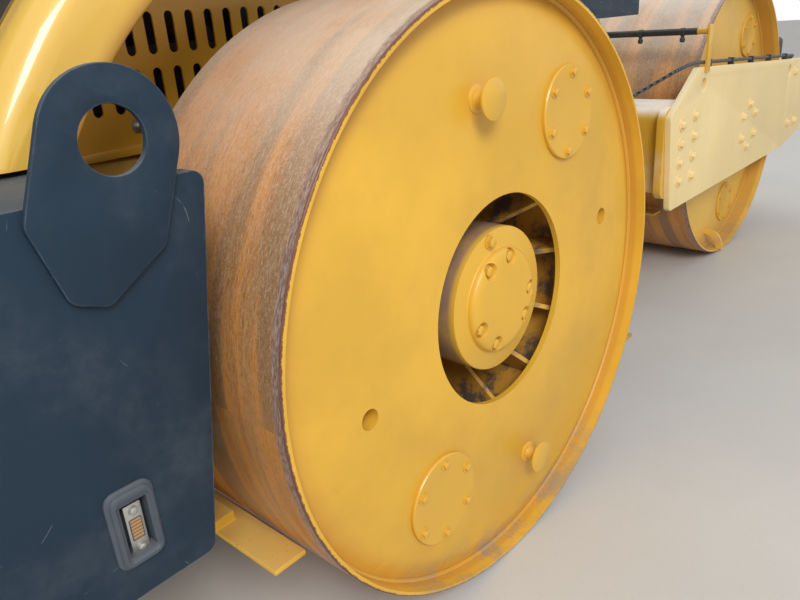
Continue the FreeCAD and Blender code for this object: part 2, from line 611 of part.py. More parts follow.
def outline_sketch(body, plane, outline):
    """A closed outline, each corner held by two dimensions that are bound to the sheet."""
    sketch = body.newObject("Sketcher::SketchObject", f"{body.Name}_outline")
    support = next(f for f in body.Origin.OriginFeatures if f.Role == plane)
    sketch.AttachmentSupport = [(support, "")]
    sketch.MapMode = "FlatFace"
    count = len(outline)
    start = [FreeCAD.Vector(100 * math.cos(2 * math.pi * k / count), 100 * math.sin(2 * math.pi * k / count))
             for k in range(count)]
    for k in range(count):
        sketch.addGeometry(Part.LineSegment(start[k], start[(k + 1) % count]), False)
    for k in range(count):
        sketch.addConstraint(Sketcher.Constraint("Coincident", k, 2, (k + 1) % count, 1))
    for k, corner in enumerate(outline):
        for kind, text, value in zip(("DistanceX", "DistanceY"), corner, start[k]):
            held = sketch.addConstraint(Sketcher.Constraint(kind, -1, 1, k, 1, value))
            sketch.setExpression(f"Constraints[{held}]", ref(text))
    return sketch


def round_corners(body, feature, sketch, corners, radius):
    """Fillets the edges that come from the given corners of the outline."""
    doc.recompute()
    points = [sketch.Geometry[k].StartPoint for k in corners]
    turned_body = feature.TypeId == "PartDesign::Revolution"
    to_sketch = sketch.Placement.inverse()
    names = []
    for number, edge in enumerate(feature.Shape.Edges, 1):
        first, last = edge.ParameterRange
        seen = []
        for share in (0.1, 0.5, 0.9):
            at = to_sketch.multVec(edge.valueAt(first + share * (last - first)))
            seen.append((at.x, math.hypot(at.y, at.z)) if turned_body else (at.x, at.y))
        if any(all(math.hypot(u - p.x, v - p.y) < 0.05 for u, v in seen) for p in points):
            names.append(f"Edge{number}")
    fillet = body.newObject("PartDesign::Fillet", f"{body.Name}_round")
    fillet.Base = (feature, names)
    bind(fillet, Radius=radius)
    return fillet


def prism(name, plane, outline, depth, x="0", y="0", z="0", corners=(), radius=None):
    """An outline drawn in side, top or front view and given a depth: to the right, up or ahead."""
    body = doc.addObject("PartDesign::Body", name)
    sketch = outline_sketch(body, plane, outline)
    pad = body.newObject("PartDesign::Pad", f"{name}_pad")
    pad.Profile = sketch
    bind(pad, Length=depth)
    if corners:
        round_corners(body, pad, sketch, corners, radius)
    return place(body, x, y, z)


def turned(name, outline, x="0", y="0", z="0", corners=(), radius=None):
    """An outline of distance along +Y and radius, turned about a line along Y."""
    body = doc.addObject("PartDesign::Body", name)
    sketch = outline_sketch(body, FRONT_VIEW, outline)
    spin = body.newObject("PartDesign::Revolution", f"{name}_turn")
    spin.Profile = sketch
    spin.ReferenceAxis = (sketch, ["H_Axis"])
    spin.Angle = 360
    if corners:
        round_corners(body, spin, sketch, corners, radius)
    return place(body, x, y, z)


def polar(radius_text, angle_text, x="rear_x", z="drum_radius"):
    """Expressions of a point on a circle about a drum's axis."""
    return f"{x} + {radius_text} * cos({angle_text})", f"{z} + {radius_text} * sin({angle_text})"


def rear_drum():
    """Shell, disc with its opening, pocket with ribs, web and drain holes, as one welded drum."""
    rim, bend = "drum_radius - rim_wall", "drum_radius - disc_bend"
    inner = "rear_drum_width - disc_recess"
    bore = "spindle_radius + running_gap"
    web_back = "web_depth + web_plate"
    disc_back = "disc_recess + disc_plate"
    outline = (("0", rim), ("0", "drum_radius"), ("rear_drum_width", "drum_radius"),
               ("rear_drum_width", rim),
               (inner, rim), (inner, "disc_opening"), (web_back, "disc_opening"), (web_back, bore),
               ("web_depth", bore), ("web_depth", "pocket_radius"), (disc_back, "pocket_radius"),
               (disc_back, "disc_opening"), ("disc_recess", "disc_opening"), ("disc_recess", bend),
               ("rim_depth", rim))
    drum = turned("drum", outline, "rear_x", "-half_width", "drum_radius", corners=(1, 2),
                  radius="shell_edge")
    ribs = []
    for k in range(int(size("rib_count"))):
        rib = doc.addObject("Part::Box", "rib")
        bind(rib, Length="pocket_radius - hub_radius - rib_root + rib_bite", Height="rib_plate",
             Width="web_depth - disc_recess - rib_setback + rib_bite")
        angle = f"(rib_phase + {k} * 360 / rib_count)"
        turn(rib, (0, 1, 0), angle)
        along, across = "(hub_radius + rib_root)", "(rib_plate / 2)"
        place(rib, f"rear_x + {along} * cos({angle}) - {across} * sin({angle})",
              "-half_width + disc_recess + rib_setback",
              f"drum_radius - {along} * sin({angle}) - {across} * cos({angle})")
        ribs.append(rib)
    drains = []
    for k in (0, 1):
        x, z = polar("fitting_circle", f"(fitting_angle + {180 * k})")
        drains.append(rod("drain", "drain_radius", "drain_depth + disc_recess", x, "-half_width", z))
    slope = (("disc_recess", "hub_radius"), ("disc_recess", "rib_shoulder"),
             ("disc_recess + rib_setback", "rib_shoulder"), ("rib_hub_depth", "hub_radius + rib_root"),
             ("rib_hub_depth", "hub_radius"))
    slope_tool = turned("rib_slope", slope, "rear_x", "-half_width", "drum_radius")
    sloped = cut("ribs_sloped", union("ribs", *ribs), slope_tool)
    return cut("drum_bored", union("drum_ribbed", drum, sloped), *drains)


def rear_hub():
    """Planetary hub on the web, with its cap and the bore for the axle's spindle."""
    bore_end = "web_depth - hub_bore"
    bore = "spindle_radius + running_gap"
    cap = "hub_face - hub_cap_rise"
    outline = ((cap, "0"), (cap, "hub_cap_radius - hub_cap_chamfer"),
               (f"{cap} + hub_cap_chamfer", "hub_cap_radius"),
               ("hub_face", "hub_cap_radius"), ("hub_face", "hub_radius - hub_chamfer"),
               ("hub_face + hub_chamfer", "hub_radius"), ("web_depth", "hub_radius"), ("web_depth", bore),
               (bore_end, bore), (bore_end, "0"))
    return turned("hub", outline, "rear_x", "-half_width", "drum_radius")


def rear_fittings():
    """Two bolted round covers and two filler plugs with caps, seated on the disc."""
    parts = []
    face = "-half_width + disc_recess"
    for k in (0, 1):
        x, z = polar("fitting_circle", f"(fitting_angle + fitting_step + {180 * k})")
        parts.append(rod("cover", "cover_radius", "cover_plate", x, f"{face} - cover_plate", z))
        x, z = polar("fitting_circle", f"(fitting_angle + 2 * fitting_step + {180 * k})")
        stem = rod("plug_stem", "plug_stem_radius", "plug_stem", x, f"{face} - plug_stem", z)
        cap = rod("plug_cap", "plug_cap_radius", "plug_cap", x, f"{face} - plug_stem - plug_cap", z)
        parts.append(union("plug", stem, cap))
    return union("fittings", *parts)


def rear_axle():
    """Axle beam with the differential's bowl and the two spindles that carry the rear drums."""
    tube_end = "(half_width - web_depth - web_plate - slide_gap)"
    tip = "(half_width - web_depth + hub_bore - slide_gap)"
    half = ((tip, "0"), (tip, "spindle_radius"), (tube_end, "spindle_radius"), (tube_end, "axle_radius"),
            ("bowl_half", "axle_radius"), ("bowl_half - bowl_slope", "bowl_radius"))
    outline = half + tuple((f"-({along})", out) for along, out in reversed(half))
    return turned("axle", outline, "rear_x", "0", "drum_radius")


def eye_plates(name, x, y, length, width):
    """Two plates, one above and one below a cylinder's eye."""
    return [block(name, x, y, f"pivot_height + {z}", length, width, "eye_plate")
            for z in ("eye_half + slide_gap", "-eye_half - slide_gap - eye_plate")]


def chassis():
    """Two side plates joined by cross beams, with the yoke of the steering pivot at the front."""
    side = (("-chassis_rear", "chassis_floor + chassis_rake"), ("-chassis_rear", "chassis_top"),
            ("chassis_front - chassis_nose_run", "chassis_top"),
            ("chassis_front", "chassis_top - chassis_nose"),
            ("chassis_front", "chassis_floor + chassis_chin"),
            ("chassis_front - chassis_chin_run", "chassis_floor"),
            ("-chassis_rear + chassis_rake_run", "chassis_floor"))
    parts = [prism("chassis_side", SIDE_VIEW, side, "chassis_plate", "rear_x", y, "0")
             for y in ("chassis_half", "-chassis_half + chassis_plate")]
    inner_face = "(chassis_half - chassis_plate)"
    # distance ahead of the rear axle, bottom, height
    beams = (("-chassis_rear", "chassis_floor + chassis_rake", "chassis_depth - chassis_rake"),
             ("-deck_beam_rear", "deck_height - deck_beam", "deck_beam"),
             ("-deck_beam_fore", "deck_height - deck_beam", "deck_beam"),
             ("deck_beam_cab", "deck_height - deck_beam", "deck_beam"),
             ("chassis_front - cross_beam", "chassis_floor + chassis_chin",
              "chassis_depth - chassis_chin - chassis_nose"))
    parts += [block("chassis_beam", f"rear_x + {x}", f"-{inner_face} - beam_bite", z, "cross_beam",
                    f"2 * {inner_face} + 2 * beam_bite", height) for x, z, height in beams]
    for z in ("pivot_height + pivot_span / 2 - yoke_lug", "pivot_height - pivot_span / 2"):
        lug = (("0", "-yoke_root"), ("yoke_reach", "-yoke_radius"), ("yoke_reach", "yoke_radius"),
               ("0", "yoke_root"))
        parts.append(prism("yoke", TOP_VIEW, lug, "yoke_lug", "rear_x + chassis_front", "0", z))
        parts.append(rod("yoke_eye", "yoke_radius", "yoke_lug", "pivot_x", "0", z, "Z"))
    axle_hole = rod("axle_hole", "axle_radius + running_gap", "4 * chassis_half", "rear_x",
                    "-2 * chassis_half",
                    "drum_radius")
    pin_hole = rod("pin_hole", "pin_radius", "2 * pivot_span", "pivot_x", "0", "pivot_height - pivot_span",
                   "Z")
    ports = []
    for way in (1, -1):
        y = "steer_side - seat_half" if way > 0 else f"-{inner_face} - beam_bite"
        parts += eye_plates("barrel_seat", "pivot_x - steer_base - seat_half", y, "2 * seat_half",
                            f"{inner_face} - steer_side + seat_half + beam_bite")
        parts.append(rod("barrel_pin", "eye_pin_radius", "2 * eye_half + 2 * slide_gap + 2 * eye_plate",
                         "pivot_x - steer_base", f"{way} * steer_side",
                         "pivot_height - eye_half - slide_gap - eye_plate", "Z"))
        ports.append(block("swing_port", "rear_x + chassis_front - 2 * cross_beam",
                           f"{way} * steer_side - barrel_radius - swing_room",
                           "pivot_height - barrel_radius - slide_gap", "3 * cross_beam",
                           "2 * barrel_radius + 2 * swing_room", "2 * barrel_radius + 2 * slide_gap"))
    return cut("chassis_bored", union("chassis_welded", *parts), axle_hole, pin_hole, *ports)


def steering_pin():
    """The pin through the yoke's lugs, with a round head on top."""
    shank = rod("pin_shank", "pin_radius", "pivot_span + 2 * pin_stand", "pivot_x", "0",
                "pivot_height - pivot_span / 2 - pin_stand", "Z")
    head = rod("pin_top", "pin_radius + pin_head", "pin_head_plate", "pivot_x", "0",
               "pivot_height + pivot_span / 2", "Z")
    return union("pin", shank, head)


def centre_link():
    """Knuckle between the frames: it steers on the upright pin and carries the oscillation journal."""
    height = "(pivot_span - 2 * yoke_lug - 2 * slide_gap)"
    low = f"pivot_height - {height} / 2"
    knuckle = rod("knuckle", "yoke_radius", height, "pivot_x", "0", low, "Z")
    neck = block("neck", "pivot_x", "-link_half", low, "link_reach", "2 * link_half", height)
    journal = rod("link_journal", "journal_radius", "journal_length", "pivot_x + link_reach", "0",
                  "pivot_height", "X")
    arms = eye_plates("link_arms", "pivot_x + arm_ahead - arm_half", "-steer_side - arm_half",
                      "2 * arm_half",
                      "2 * steer_side + 2 * arm_half")
    pin_hole = rod("link_hole", "pin_radius + running_gap", "2 * pivot_span", "pivot_x", "0",
                   "pivot_height - pivot_span", "Z")
    return cut("link_bored", union("link", knuckle, neck, journal, *arms), pin_hole)


def tail_box():
    """Counterweight box across the back, notched for the chassis, with recesses for its lamps."""
    side = (("-tail_front_top", "tail_top"), ("-tail_front_low", "tail_floor"),
            ("-rear_overhang + tail_chamfer_run", "tail_floor"),
            ("-rear_overhang", "tail_floor + tail_chamfer"),
            ("-rear_overhang", "tail_top"))
    box = prism("tail", SIDE_VIEW, side, "2 * tail_half", "rear_x", "tail_half", "0",
                corners=(0, 1, 2, 3, 4),
                radius="tail_corner")
    hinge_x = "rear_x - hood_back - hinge_back"
    lugs = [block("tail_hinge", f"{hinge_x} - hinge_lug_half", f"{way} * hinge_side - hinge_lug / 2",
                  "tail_top",
                  "2 * hinge_lug_half", "hinge_lug", "hinge_rise + hinge_lug_rise") for way in (1, -1)]
    hinge_hole = rod("hinge_hole", "hinge_pin_radius + running_gap", "4 * hinge_side", hinge_x,
                     "-2 * hinge_side", "tail_top + hinge_rise")
    notch = block("tail_notch", "rear_x - chassis_rear", "-chassis_half - notch_gap",
                  "tail_floor - tail_corner", "chassis_rear", "2 * chassis_half + 2 * notch_gap",
                  "tail_height + 2 * tail_corner")
    step = block("tail_step", "rear_x - tail_front_top - tail_step_run", "-tail_half + tail_cheek",
                 "tail_top - tail_step_drop", "tail_step_run + tail_corner",
                 "2 * tail_half - 2 * tail_cheek",
                 "2 * tail_step_drop")
    recesses = []
    for y in ("-tail_half - marker_depth", "tail_half - marker_depth"):
        recesses.append(block("marker_recess",
                              "rear_x - tail_front_low - marker_setback - marker_length / 2", y,
                              "tail_floor + marker_rise - marker_height / 2", "marker_length",
                              "2 * marker_depth", "marker_height"))
    for y in ("-tail_half + tail_lamp_side", "tail_half - tail_lamp_side - tail_lamp_width"):
        recesses.append(block("tail_lamp_recess", "rear_x - rear_overhang - tail_lamp_depth", y,
                              "tail_top - tail_lamp_drop - tail_lamp_height", "2 * tail_lamp_depth",
                              "tail_lamp_width", "tail_lamp_height"))
    return cut("tail_cut", union("tail_lugged", box, *lugs), notch, step, hinge_hole, *recesses)


def tail_lamp():
    """Lamp cluster in its recess in the tail box's back."""
    return block("tail_lamp", "rear_x - rear_overhang + tail_lamp_depth - tail_lamp_body",
                 "-tail_half + tail_lamp_side + tail_lamp_margin",
                 "tail_top - tail_lamp_drop - tail_lamp_height + tail_lamp_margin", "tail_lamp_body",
                 "tail_lamp_width - 2 * tail_lamp_margin", "tail_lamp_height - 2 * tail_lamp_margin")


def lifting_lug():
    """Leaning plate with a round eye, welded flat on the tail box's side."""
    outline = (("-lug_radius", "0"), ("-lug_radius", "-lug_shoulder"), ("-lug_tip_half", "-lug_tip"),
               ("lug_tip_half", "-lug_tip"), ("lug_radius", "-lug_shoulder"), ("lug_radius", "0"))
    body = prism("lug_body", SIDE_VIEW, outline, "lug_plate", corners=(1, 2, 3, 4), radius="lug_corner")
    eye = rod("lug_eye", "lug_radius", "lug_plate", "0", "-lug_plate", "0")
    hole = rod("lug_hole", "lug_hole_radius", "3 * lug_plate", "0", "-2 * lug_plate", "0")
    lug = turn(cut("lug_bored", union("lug", body, eye), hole), (0, 1, 0), "lug_lean")
    return place(lug, "rear_x - tail_front_top - lug_setback", "-tail_half", "tail_top + lug_rise")


def marker_lamp():
    """Bar-shaped side marker lamp that stands in its recess."""
    return block("marker", "rear_x - tail_front_low - marker_setback - marker_bar / 2",
                 "-tail_half + marker_depth - marker_body",
                 "tail_floor + marker_rise - marker_height / 2 + marker_margin", "marker_bar", "marker_body",
                 "marker_height - 2 * marker_margin")


def side_panel():
    """Slotted steel panel between the engine and the rear drum."""
    start, length = "rear_x - tail_front_top + slide_gap", "tail_front_top + panel_ahead - slide_gap"
    plate = block("panel", start, "-panel_half", "panel_floor", length, "panel_plate", "panel_height")
    fold = block("panel_fold", start, "-panel_half", "panel_floor", length,
                 "panel_half - chassis_half + chassis_plate", "panel_plate")
    foot = block("panel_foot", start, "-chassis_half", "chassis_top", length, "chassis_plate", "panel_step")
    slots = []
    tool_y, tool_depth = "-panel_half - panel_plate", "3 * panel_plate"
    for line in range(int(size("slot_rows"))):
        for column in range(int(size("slot_columns"))):
            x = f"rear_x - slot_back + {column} * slot_pitch"
            z = f"panel_floor + slot_rise + {line} * slot_row"
            slots.append(block("slot", f"{x} - slot_width / 2", tool_y, f"{z} + slot_width / 2",
                               "slot_width",
                               tool_depth, "slot_height - slot_width"))
            for end in ("slot_width / 2", "slot_height - slot_width / 2"):
                slots.append(rod("slot_end", "slot_width / 2", tool_depth, x, tool_y, f"{z} + {end}"))
    return cut("panel_slotted", union("panel_folded", plate, fold, foot), union("slots", *slots))


def hood_outline(skin, foot, front):
    """The hood's side view, drawn inside by its skin."""
    return ((f"-hood_back + {skin}", foot), (f"-hood_back + hood_rake + {skin}", "tail_top + hood_shoulder"),
            (f"-hood_back + hood_rake + hood_slope + {skin}", f"hood_top - hood_slope_drop - {skin}"),
            (f"-hood_back + hood_rake + hood_slope + hood_slope_run + {skin}", f"hood_top - {skin}"),
            (front, f"hood_top - {skin}"), (front, foot))


def hood():
    """Engine hood: a shell open below and ahead, with the arched mudguards over both rear drums."""
    shell = prism("hood_outer", SIDE_VIEW, hood_outline("0", "hood_foot", "hood_front"), "2 * hood_half",
                  "rear_x", "hood_half", "0", corners=(1, 2, 3), radius="hood_corner")
    hollow = prism("hood_hollow", SIDE_VIEW,
                   hood_outline("hood_skin", "hood_foot - hood_skin", "hood_front + hood_skin"),
                   "2 * hood_half - 2 * hood_skin", "rear_x", "hood_half - hood_skin", "0")
    arch_cut = rod("arch_cut", "arch_radius + beam_bite", "2 * body_half", "rear_x", "-body_half",
                   "drum_radius")
    inside, liner = "-panel_half - arch_side_gap", "arch_radius + arch_liner"
    section = (("-body_half", "arch_radius"), ("-body_half", "arch_outer - arch_slope"),
               ("-body_half + arch_slope_run", "arch_outer"), ("-hood_half + hood_skin", "arch_outer"),
               ("-hood_half + hood_skin", liner), (inside, liner), (inside, "arch_radius"))
    ring = turned("arch", section, "rear_x", "0", "drum_radius", corners=(0, 1, 2), radius="arch_round")
    window = block("arch_window", "rear_x - 2 * arch_outer", "-2 * body_half", "hood_foot",
                   "2 * arch_outer + hood_front", "4 * body_half", "arch_outer")
    arch = common("arch_trimmed", ring, window)
    hinges = []
    x, z = "rear_x - hood_back - hinge_back", "tail_top + hinge_rise"
    for way in (1, -1):
        low = f"{way} * hinge_side - hinge_pin_length / 2"
        hinges.append(rod("hinge_pin", "hinge_pin_radius", "hinge_pin_length", x, low, z))
        for y in (low, f"{low} + hinge_pin_length - hinge_eye"):
            hinges.append(rod("hinge_eye_ring", "hinge_eye_radius", "hinge_eye", x, y, z))
            hinges.append(block("hinge_arm", x, y, f"{z} - beam_bite", "hinge_back + hinge_eye", "hinge_eye",
                                "hinge_eye_radius"))
    return union("hood_shell", cut("hood_open", shell, hollow, arch_cut), arch, mirror("arch_left", arch),
                 *hinges)


def side_grille():
    """Dark grille panel on the hood's side, above the mudguard's band."""
    rear, low = "-hood_back + grille_rear", "tail_top + grille_margin"
    high, front = "hood_top - grille_top_margin", "hood_front - grille_margin"
    outline = ((rear, low), (rear, "tail_top + hood_shoulder"),
               (f"{rear} + grille_slope", f"{high} - grille_margin"),
               (f"{rear} + 2 * grille_slope", high), (front, high), (front, low))
    panel = prism("grille", SIDE_VIEW, outline, "grille_plate", "rear_x", "-hood_half", "0")
    arch_cut = rod("grille_arch", "arch_outer + grille_arch_gap", "4 * grille_plate", "rear_x",
                   "-hood_half - 2 * grille_plate", "drum_radius")
    return cut("grille_cut", panel, arch_cut)


def exhaust():
    """Upright exhaust pipe on the hood's top."""
    x, y = "rear_x - exhaust_back", "-exhaust_side"
    pipe = rod("exhaust_pipe", "exhaust_radius", "exhaust_length", x, y, "hood_top", "Z")
    flange = rod("exhaust_foot", "exhaust_flange", "exhaust_flange_plate", x, y, "hood_top", "Z")
    bore = rod("exhaust_bore", "exhaust_radius - exhaust_wall", "exhaust_length", x, y,
               "hood_top + exhaust_length - exhaust_depth", "Z")
    return cut("exhaust_bored", union("exhaust", pipe, flange), bore)


def engine():
    return block("engine", "rear_x - engine_back", "-engine_half", "deck_height", "engine_length",
                 "2 * engine_half", "engine_rise")


def cab_outline(wall, floor, eave):
    """The cab's side view, drawn inside by the given wall."""
    return ((f"cab_rear + {wall}", floor), (f"cab_rear + {wall}", eave), (f"cab_brow - {wall}", eave),
            (f"cab_front - {wall}", "knee"), (f"cab_front - {wall}", floor))


def both_walls(name, x, z, length, height):
    """Cutting blocks for the same opening in the cab's two side walls."""
    return [block(name, x, y, z, length, "2 * cab_wall", height)
            for y in ("-body_half - cab_wall / 2", "body_half - 3 * cab_wall / 2")]


def cab_shell():
    """Hollow cab with its floor, pillars and lower panels, cut for the windows, doors and mudguards."""
    outer = prism("cab_outer", SIDE_VIEW, cab_outline("0", "cab_floor", "cab_eave"), "2 * body_half",
                  "rear_x",
                  "body_half", "0")
    arches = {}
    for wall in ("0", "cab_wall"):
        arches[wall] = [rod("cab_arch", f"arch_radius + cab_arch_gap + {wall}",
                            f"body_half - cab_well_half + cab_wall + {wall}", "rear_x", y, "drum_radius")
                        for y in ("-body_half - cab_wall", f"cab_well_half - {wall}")]
    inner = prism("cab_inner", SIDE_VIEW, cab_outline("cab_wall", "cab_inside", "cab_roof_top"),
                  "2 * body_half - 2 * cab_wall", "rear_x", "body_half - cab_wall", "0")
    room = cut("cab_room", inner, *arches["cab_wall"])
    side_windows = both_walls("cab_side_window", "rear_x + cab_rear + side_glass_margin", "cab_sill",
                              "door_setback - side_glass_margin - side_glass_post", "cab_lintel - cab_sill")
    doorways = both_walls("cab_doorway", "rear_x + door_rear - slide_gap", "door_foot - slide_gap",
                          "door_width + 2 * slide_gap", "door_head - door_foot + 2 * slide_gap")
    rear_window = block("cab_rear_opening", "rear_x + cab_rear - cab_wall / 2",
                        "-body_half + rear_glass_margin",
                        "cab_sill + rear_glass_rise", "2 * cab_wall",
                        "2 * body_half - 2 * rear_glass_margin",
                        "cab_lintel - cab_sill - rear_glass_rise")
    front_window = block("cab_front_opening", "rear_x + cab_brow - 2 * cab_wall",
                         "-body_half + screen_margin",
                         "screen_foot", "2 * cab_wall + 2 * cab_lean", "2 * body_half - 2 * screen_margin",
                         "cab_lintel - screen_foot")
    knuckles = []
    for way in (-1, 1):
        y = f"{way} * (body_half + door_axis_out)"
        for z in ("door_foot + door_hinge_low", "door_head - door_hinge_high"):
            leaf = block("knuckle_leaf", "door_axis - knuckle_length",
                         f"{way} * (body_half + leaf_plate / 2) - leaf_plate / 2", z, "knuckle_length",
                         "leaf_plate", "knuckle_length")
            eye = union("knuckle_seat", rod("knuckle_eye", "knuckle_radius", "knuckle_length", "door_axis",
                                            y, z,
                                            "Z"), leaf)
            hole = rod("knuckle_hole", "door_pin_radius + running_gap", "3 * knuckle_length", "door_axis", y,
                       f"{z} - knuckle_length", "Z")
            knuckles.append(cut("knuckle_bored", eye, hole))
    opened = cut("cab_cut", outer, *arches["0"], room, *side_windows, *doorways, rear_window, front_window)
    return union("cab_hinged", opened, *knuckles)


def cab_part(name, whole, low, height):
    """The cab's shell between two heights."""
    return common(name, whole, block(f"{name}_zone", "rear_x", "-2 * body_half", low, "2 * cab_front",
                                     "4 * body_half", height))


def cab_roof():
    """Roof with rounded edges that overhangs the walls."""
    rear, front = "cab_rear - roof_rear_reach", "cab_brow + roof_reach"
    outline = ((rear, "-body_half"), (rear, "body_half"), (front, "body_half"), (front, "-body_half"))
    return prism("roof", TOP_VIEW, outline, "roof_rise", "rear_x", "0", "cab_eave", corners=(0, 1, 2, 3),
                 radius="roof_corner")


def windscreen():
    """Slanted front glass that stands in the windscreen's opening."""
    low, high = "(screen_foot + running_gap)", "(cab_lintel - running_gap)"

    def ahead(z):
        return f"(cab_brow + cab_lean * (cab_eave - {z}) / (cab_eave - knee) - cab_wall / 2)"
    outline = ((ahead(low), low), (ahead(high), high), (f"{ahead(high)} - glass", high),
               (f"{ahead(low)} - glass", low))
    return prism("windscreen", SIDE_VIEW, outline, "2 * body_half - 2 * screen_margin - 2 * running_gap",
                 "rear_x", "body_half - screen_margin - running_gap", "0")


def rear_glass():
    return block("rear_glass", "rear_x + cab_rear + cab_wall / 2",
                 "-body_half + rear_glass_margin + running_gap",
                 "cab_sill + rear_glass_rise + running_gap", "glass",
                 "2 * body_half - 2 * rear_glass_margin - 2 * running_gap",
                 "cab_lintel - cab_sill - rear_glass_rise - 2 * running_gap")


def side_glass():
    return block("side_glass", "rear_x + cab_rear + side_glass_margin + running_gap",
                 "-body_half + cab_wall / 2 - glass", "cab_sill + running_gap",
                 "door_setback - side_glass_margin - side_glass_post - 2 * running_gap", "glass",
                 "cab_lintel - cab_sill - 2 * running_gap")


def door():
    """Door frame with a lower panel and a tall window opening, hinged at its rear edge."""
    panel = block("door_panel_block", "rear_x + door_rear", "-body_half", "door_foot", "door_width",
                  "door_plate", "door_head - door_foot")
    window = block("door_window", "rear_x + door_rear + door_rail", "-body_half - door_plate",
                   "door_foot + door_panel", "door_width - 2 * door_rail", "3 * door_plate",
                   "door_head - door_foot - door_panel - door_rail")
    hinges = []
    y = "-body_half - door_axis_out"
    for z in ("door_foot + door_hinge_low", "door_head - door_hinge_high"):
        top = f"{z} + knuckle_length + running_gap"
        hinges.append(rod("door_knuckle", "knuckle_radius", "knuckle_length", "door_axis", y, top, "Z"))
        hinges.append(block("door_leaf", "door_axis", "-body_half - leaf_plate", top,
                            "slide_gap / 2 + knuckle_length", "leaf_plate", "knuckle_length"))
        hinges.append(rod("door_pin", "door_pin_radius", "3 * knuckle_length / 2", "door_axis", y, z, "Z"))
    return union("door_hinged", cut("door_cut", panel, window), *hinges)


def door_glass():
    return block("door_glass", "rear_x + door_rear + door_rail + running_gap", "-body_half + door_plate / 2",
                 "door_foot + door_panel + running_gap", "door_width - 2 * door_rail - 2 * running_gap",
                 "glass",
                 "door_head - door_foot - door_panel - door_rail - 2 * running_gap")


def support_places():
    """Distances of the two support beams from the cab's rear."""
    return "support_rear", "support_rear + support_pitch"


def cab_support():
    """Two cross beams on posts that carry the cab on the chassis."""
    parts = []
    beam_floor = "cab_floor - mount_height - support_depth"
    for ahead in support_places():
        x = f"rear_x + cab_rear + {ahead}"
        parts.append(block("support_beam_bar", x, "-body_half + support_inset", beam_floor, "support_beam",
                           "2 * body_half - 2 * support_inset", "support_depth"))
        for y in ("-chassis_half", "chassis_half - post_side"):
            parts.append(block("support_post", x, y, "chassis_top", "support_beam", "post_side",
                               f"{beam_floor} - chassis_top + beam_bite"))
    return union("support", *parts)


def cab_mounts():
    """Four rubber mounts between the support beams and the cab."""
    return union("mounts", *[rod("rubber_mount", "mount_radius", "mount_height",
                                 f"rear_x + cab_rear + {ahead} + support_beam / 2", y,
                                 "cab_floor - mount_height", "Z")
                             for ahead in support_places()
                             for y in ("-body_half + mount_inset", "body_half - mount_inset")])


def seat():
    """Driver's seat: pedestal, cushion and backrest."""
    x = "rear_x + cab_rear + seat_back"
    pedestal = block("seat_pedestal", f"{x} + seat_size / 2 - seat_foot / 2", "-seat_foot / 2", "cab_inside",
                     "seat_foot", "seat_foot", "seat_rise")
    base = block("seat_base", x, "-seat_size / 2", "cab_inside + seat_rise", "seat_size", "seat_size",
                 "cushion")
    back = block("seat_rest", x, "-seat_size / 2", "cab_inside + seat_rise", "cushion", "seat_size",
                 "cushion + backrest")
    return union("seat", pedestal, base, back)


def console():
    """Steering console with its slanted top."""
    top = "cab_inside + console_height"
    outline = (("console_face", "cab_inside"), ("console_face", f"{top} - console_drop"),
               ("console_back + console_top", f"{top} + console_top * tan(wheel_lean)"),
               ("console_back", top),
               ("console_back + console_foot", "cab_inside"))
    return prism("console", SIDE_VIEW, outline, "2 * console_half", "rear_x", "console_half", "0")


def steering_wheel():
    """Ring, hub and column of the steering wheel."""
    ring = doc.addObject("Part::Torus", "wheel_ring")
    bind(ring, Radius1="wheel_radius", Radius2="wheel_rim")
    bar = block("wheel_bar", "-wheel_radius", "-wheel_spoke / 2", "-wheel_spoke_plate / 2",
                "2 * wheel_radius",
                "wheel_spoke", "wheel_spoke_plate")
    boss = rod("wheel_hub", "wheel_boss", "wheel_boss + wheel_rim", "0", "0", "-wheel_boss", "Z")
    column = rod("wheel_column", "column_radius", "column_length", "0", "0", "-column_length", "Z")
    wheel = turn(union("wheel", ring, bar, boss, column), (0, -1, 0), "wheel_lean")
    return place(wheel, "rear_x + console_back + console_top / 2 - column_length * sin(wheel_lean)", "0",
                 "cab_inside + console_height + console_top / 2 * tan(wheel_lean)"
                 " + column_length * cos(wheel_lean)")


def tank():
    """Tank hung on the chassis plate, ahead of the rear drum."""
    side = "-body_half + tank_inset"
    outline = ((side, "tank_floor + tank_chamfer"), (side, "tank_top"), ("-chassis_half", "tank_top"),
               ("-chassis_half", "tank_floor"), (f"{side} + tank_chamfer", "tank_floor"))
    return prism("tank", FRONT_VIEW, outline, "tank_length", "rear_x + tank_rear", "0", "0",
                 corners=(0, 1, 4),
                 radius="tank_corner")


def steps():
    """Three steps between two hangers, below the cab's door."""
    x = "rear_x + tank_rear"
    parts = [block("step_tread", x, "-body_half - step_depth + tank_inset", f"step_low + {k} * step_rise",
                   "step_length", "step_depth", "step_plate") for k in range(int(size("step_count")))]
    for start in (x, f"{x} + step_length - hanger_plate"):
        parts.append(block("step_hanger", start, "-body_half + tank_inset - hanger_width", "step_low",
                           "hanger_plate", "hanger_width", "cab_floor - step_low"))
    return union("steps", *parts)


def handrail():
    """Upright tube beside the door, held by two feet."""
    x, y, low = "rear_x + door_front + rail_ahead", "-body_half - rail_out", "cab_floor + rail_rise"
    bar = rod("rail_bar", "rail_radius", "rail_length", x, y, low, "Z")
    feet = [rod("rail_arm", "rail_arm_radius", "rail_out", x, y, z)
            for z in (f"{low} + rail_foot", f"{low} + rail_length - rail_foot")]
    return union("rail", bar, *feet)


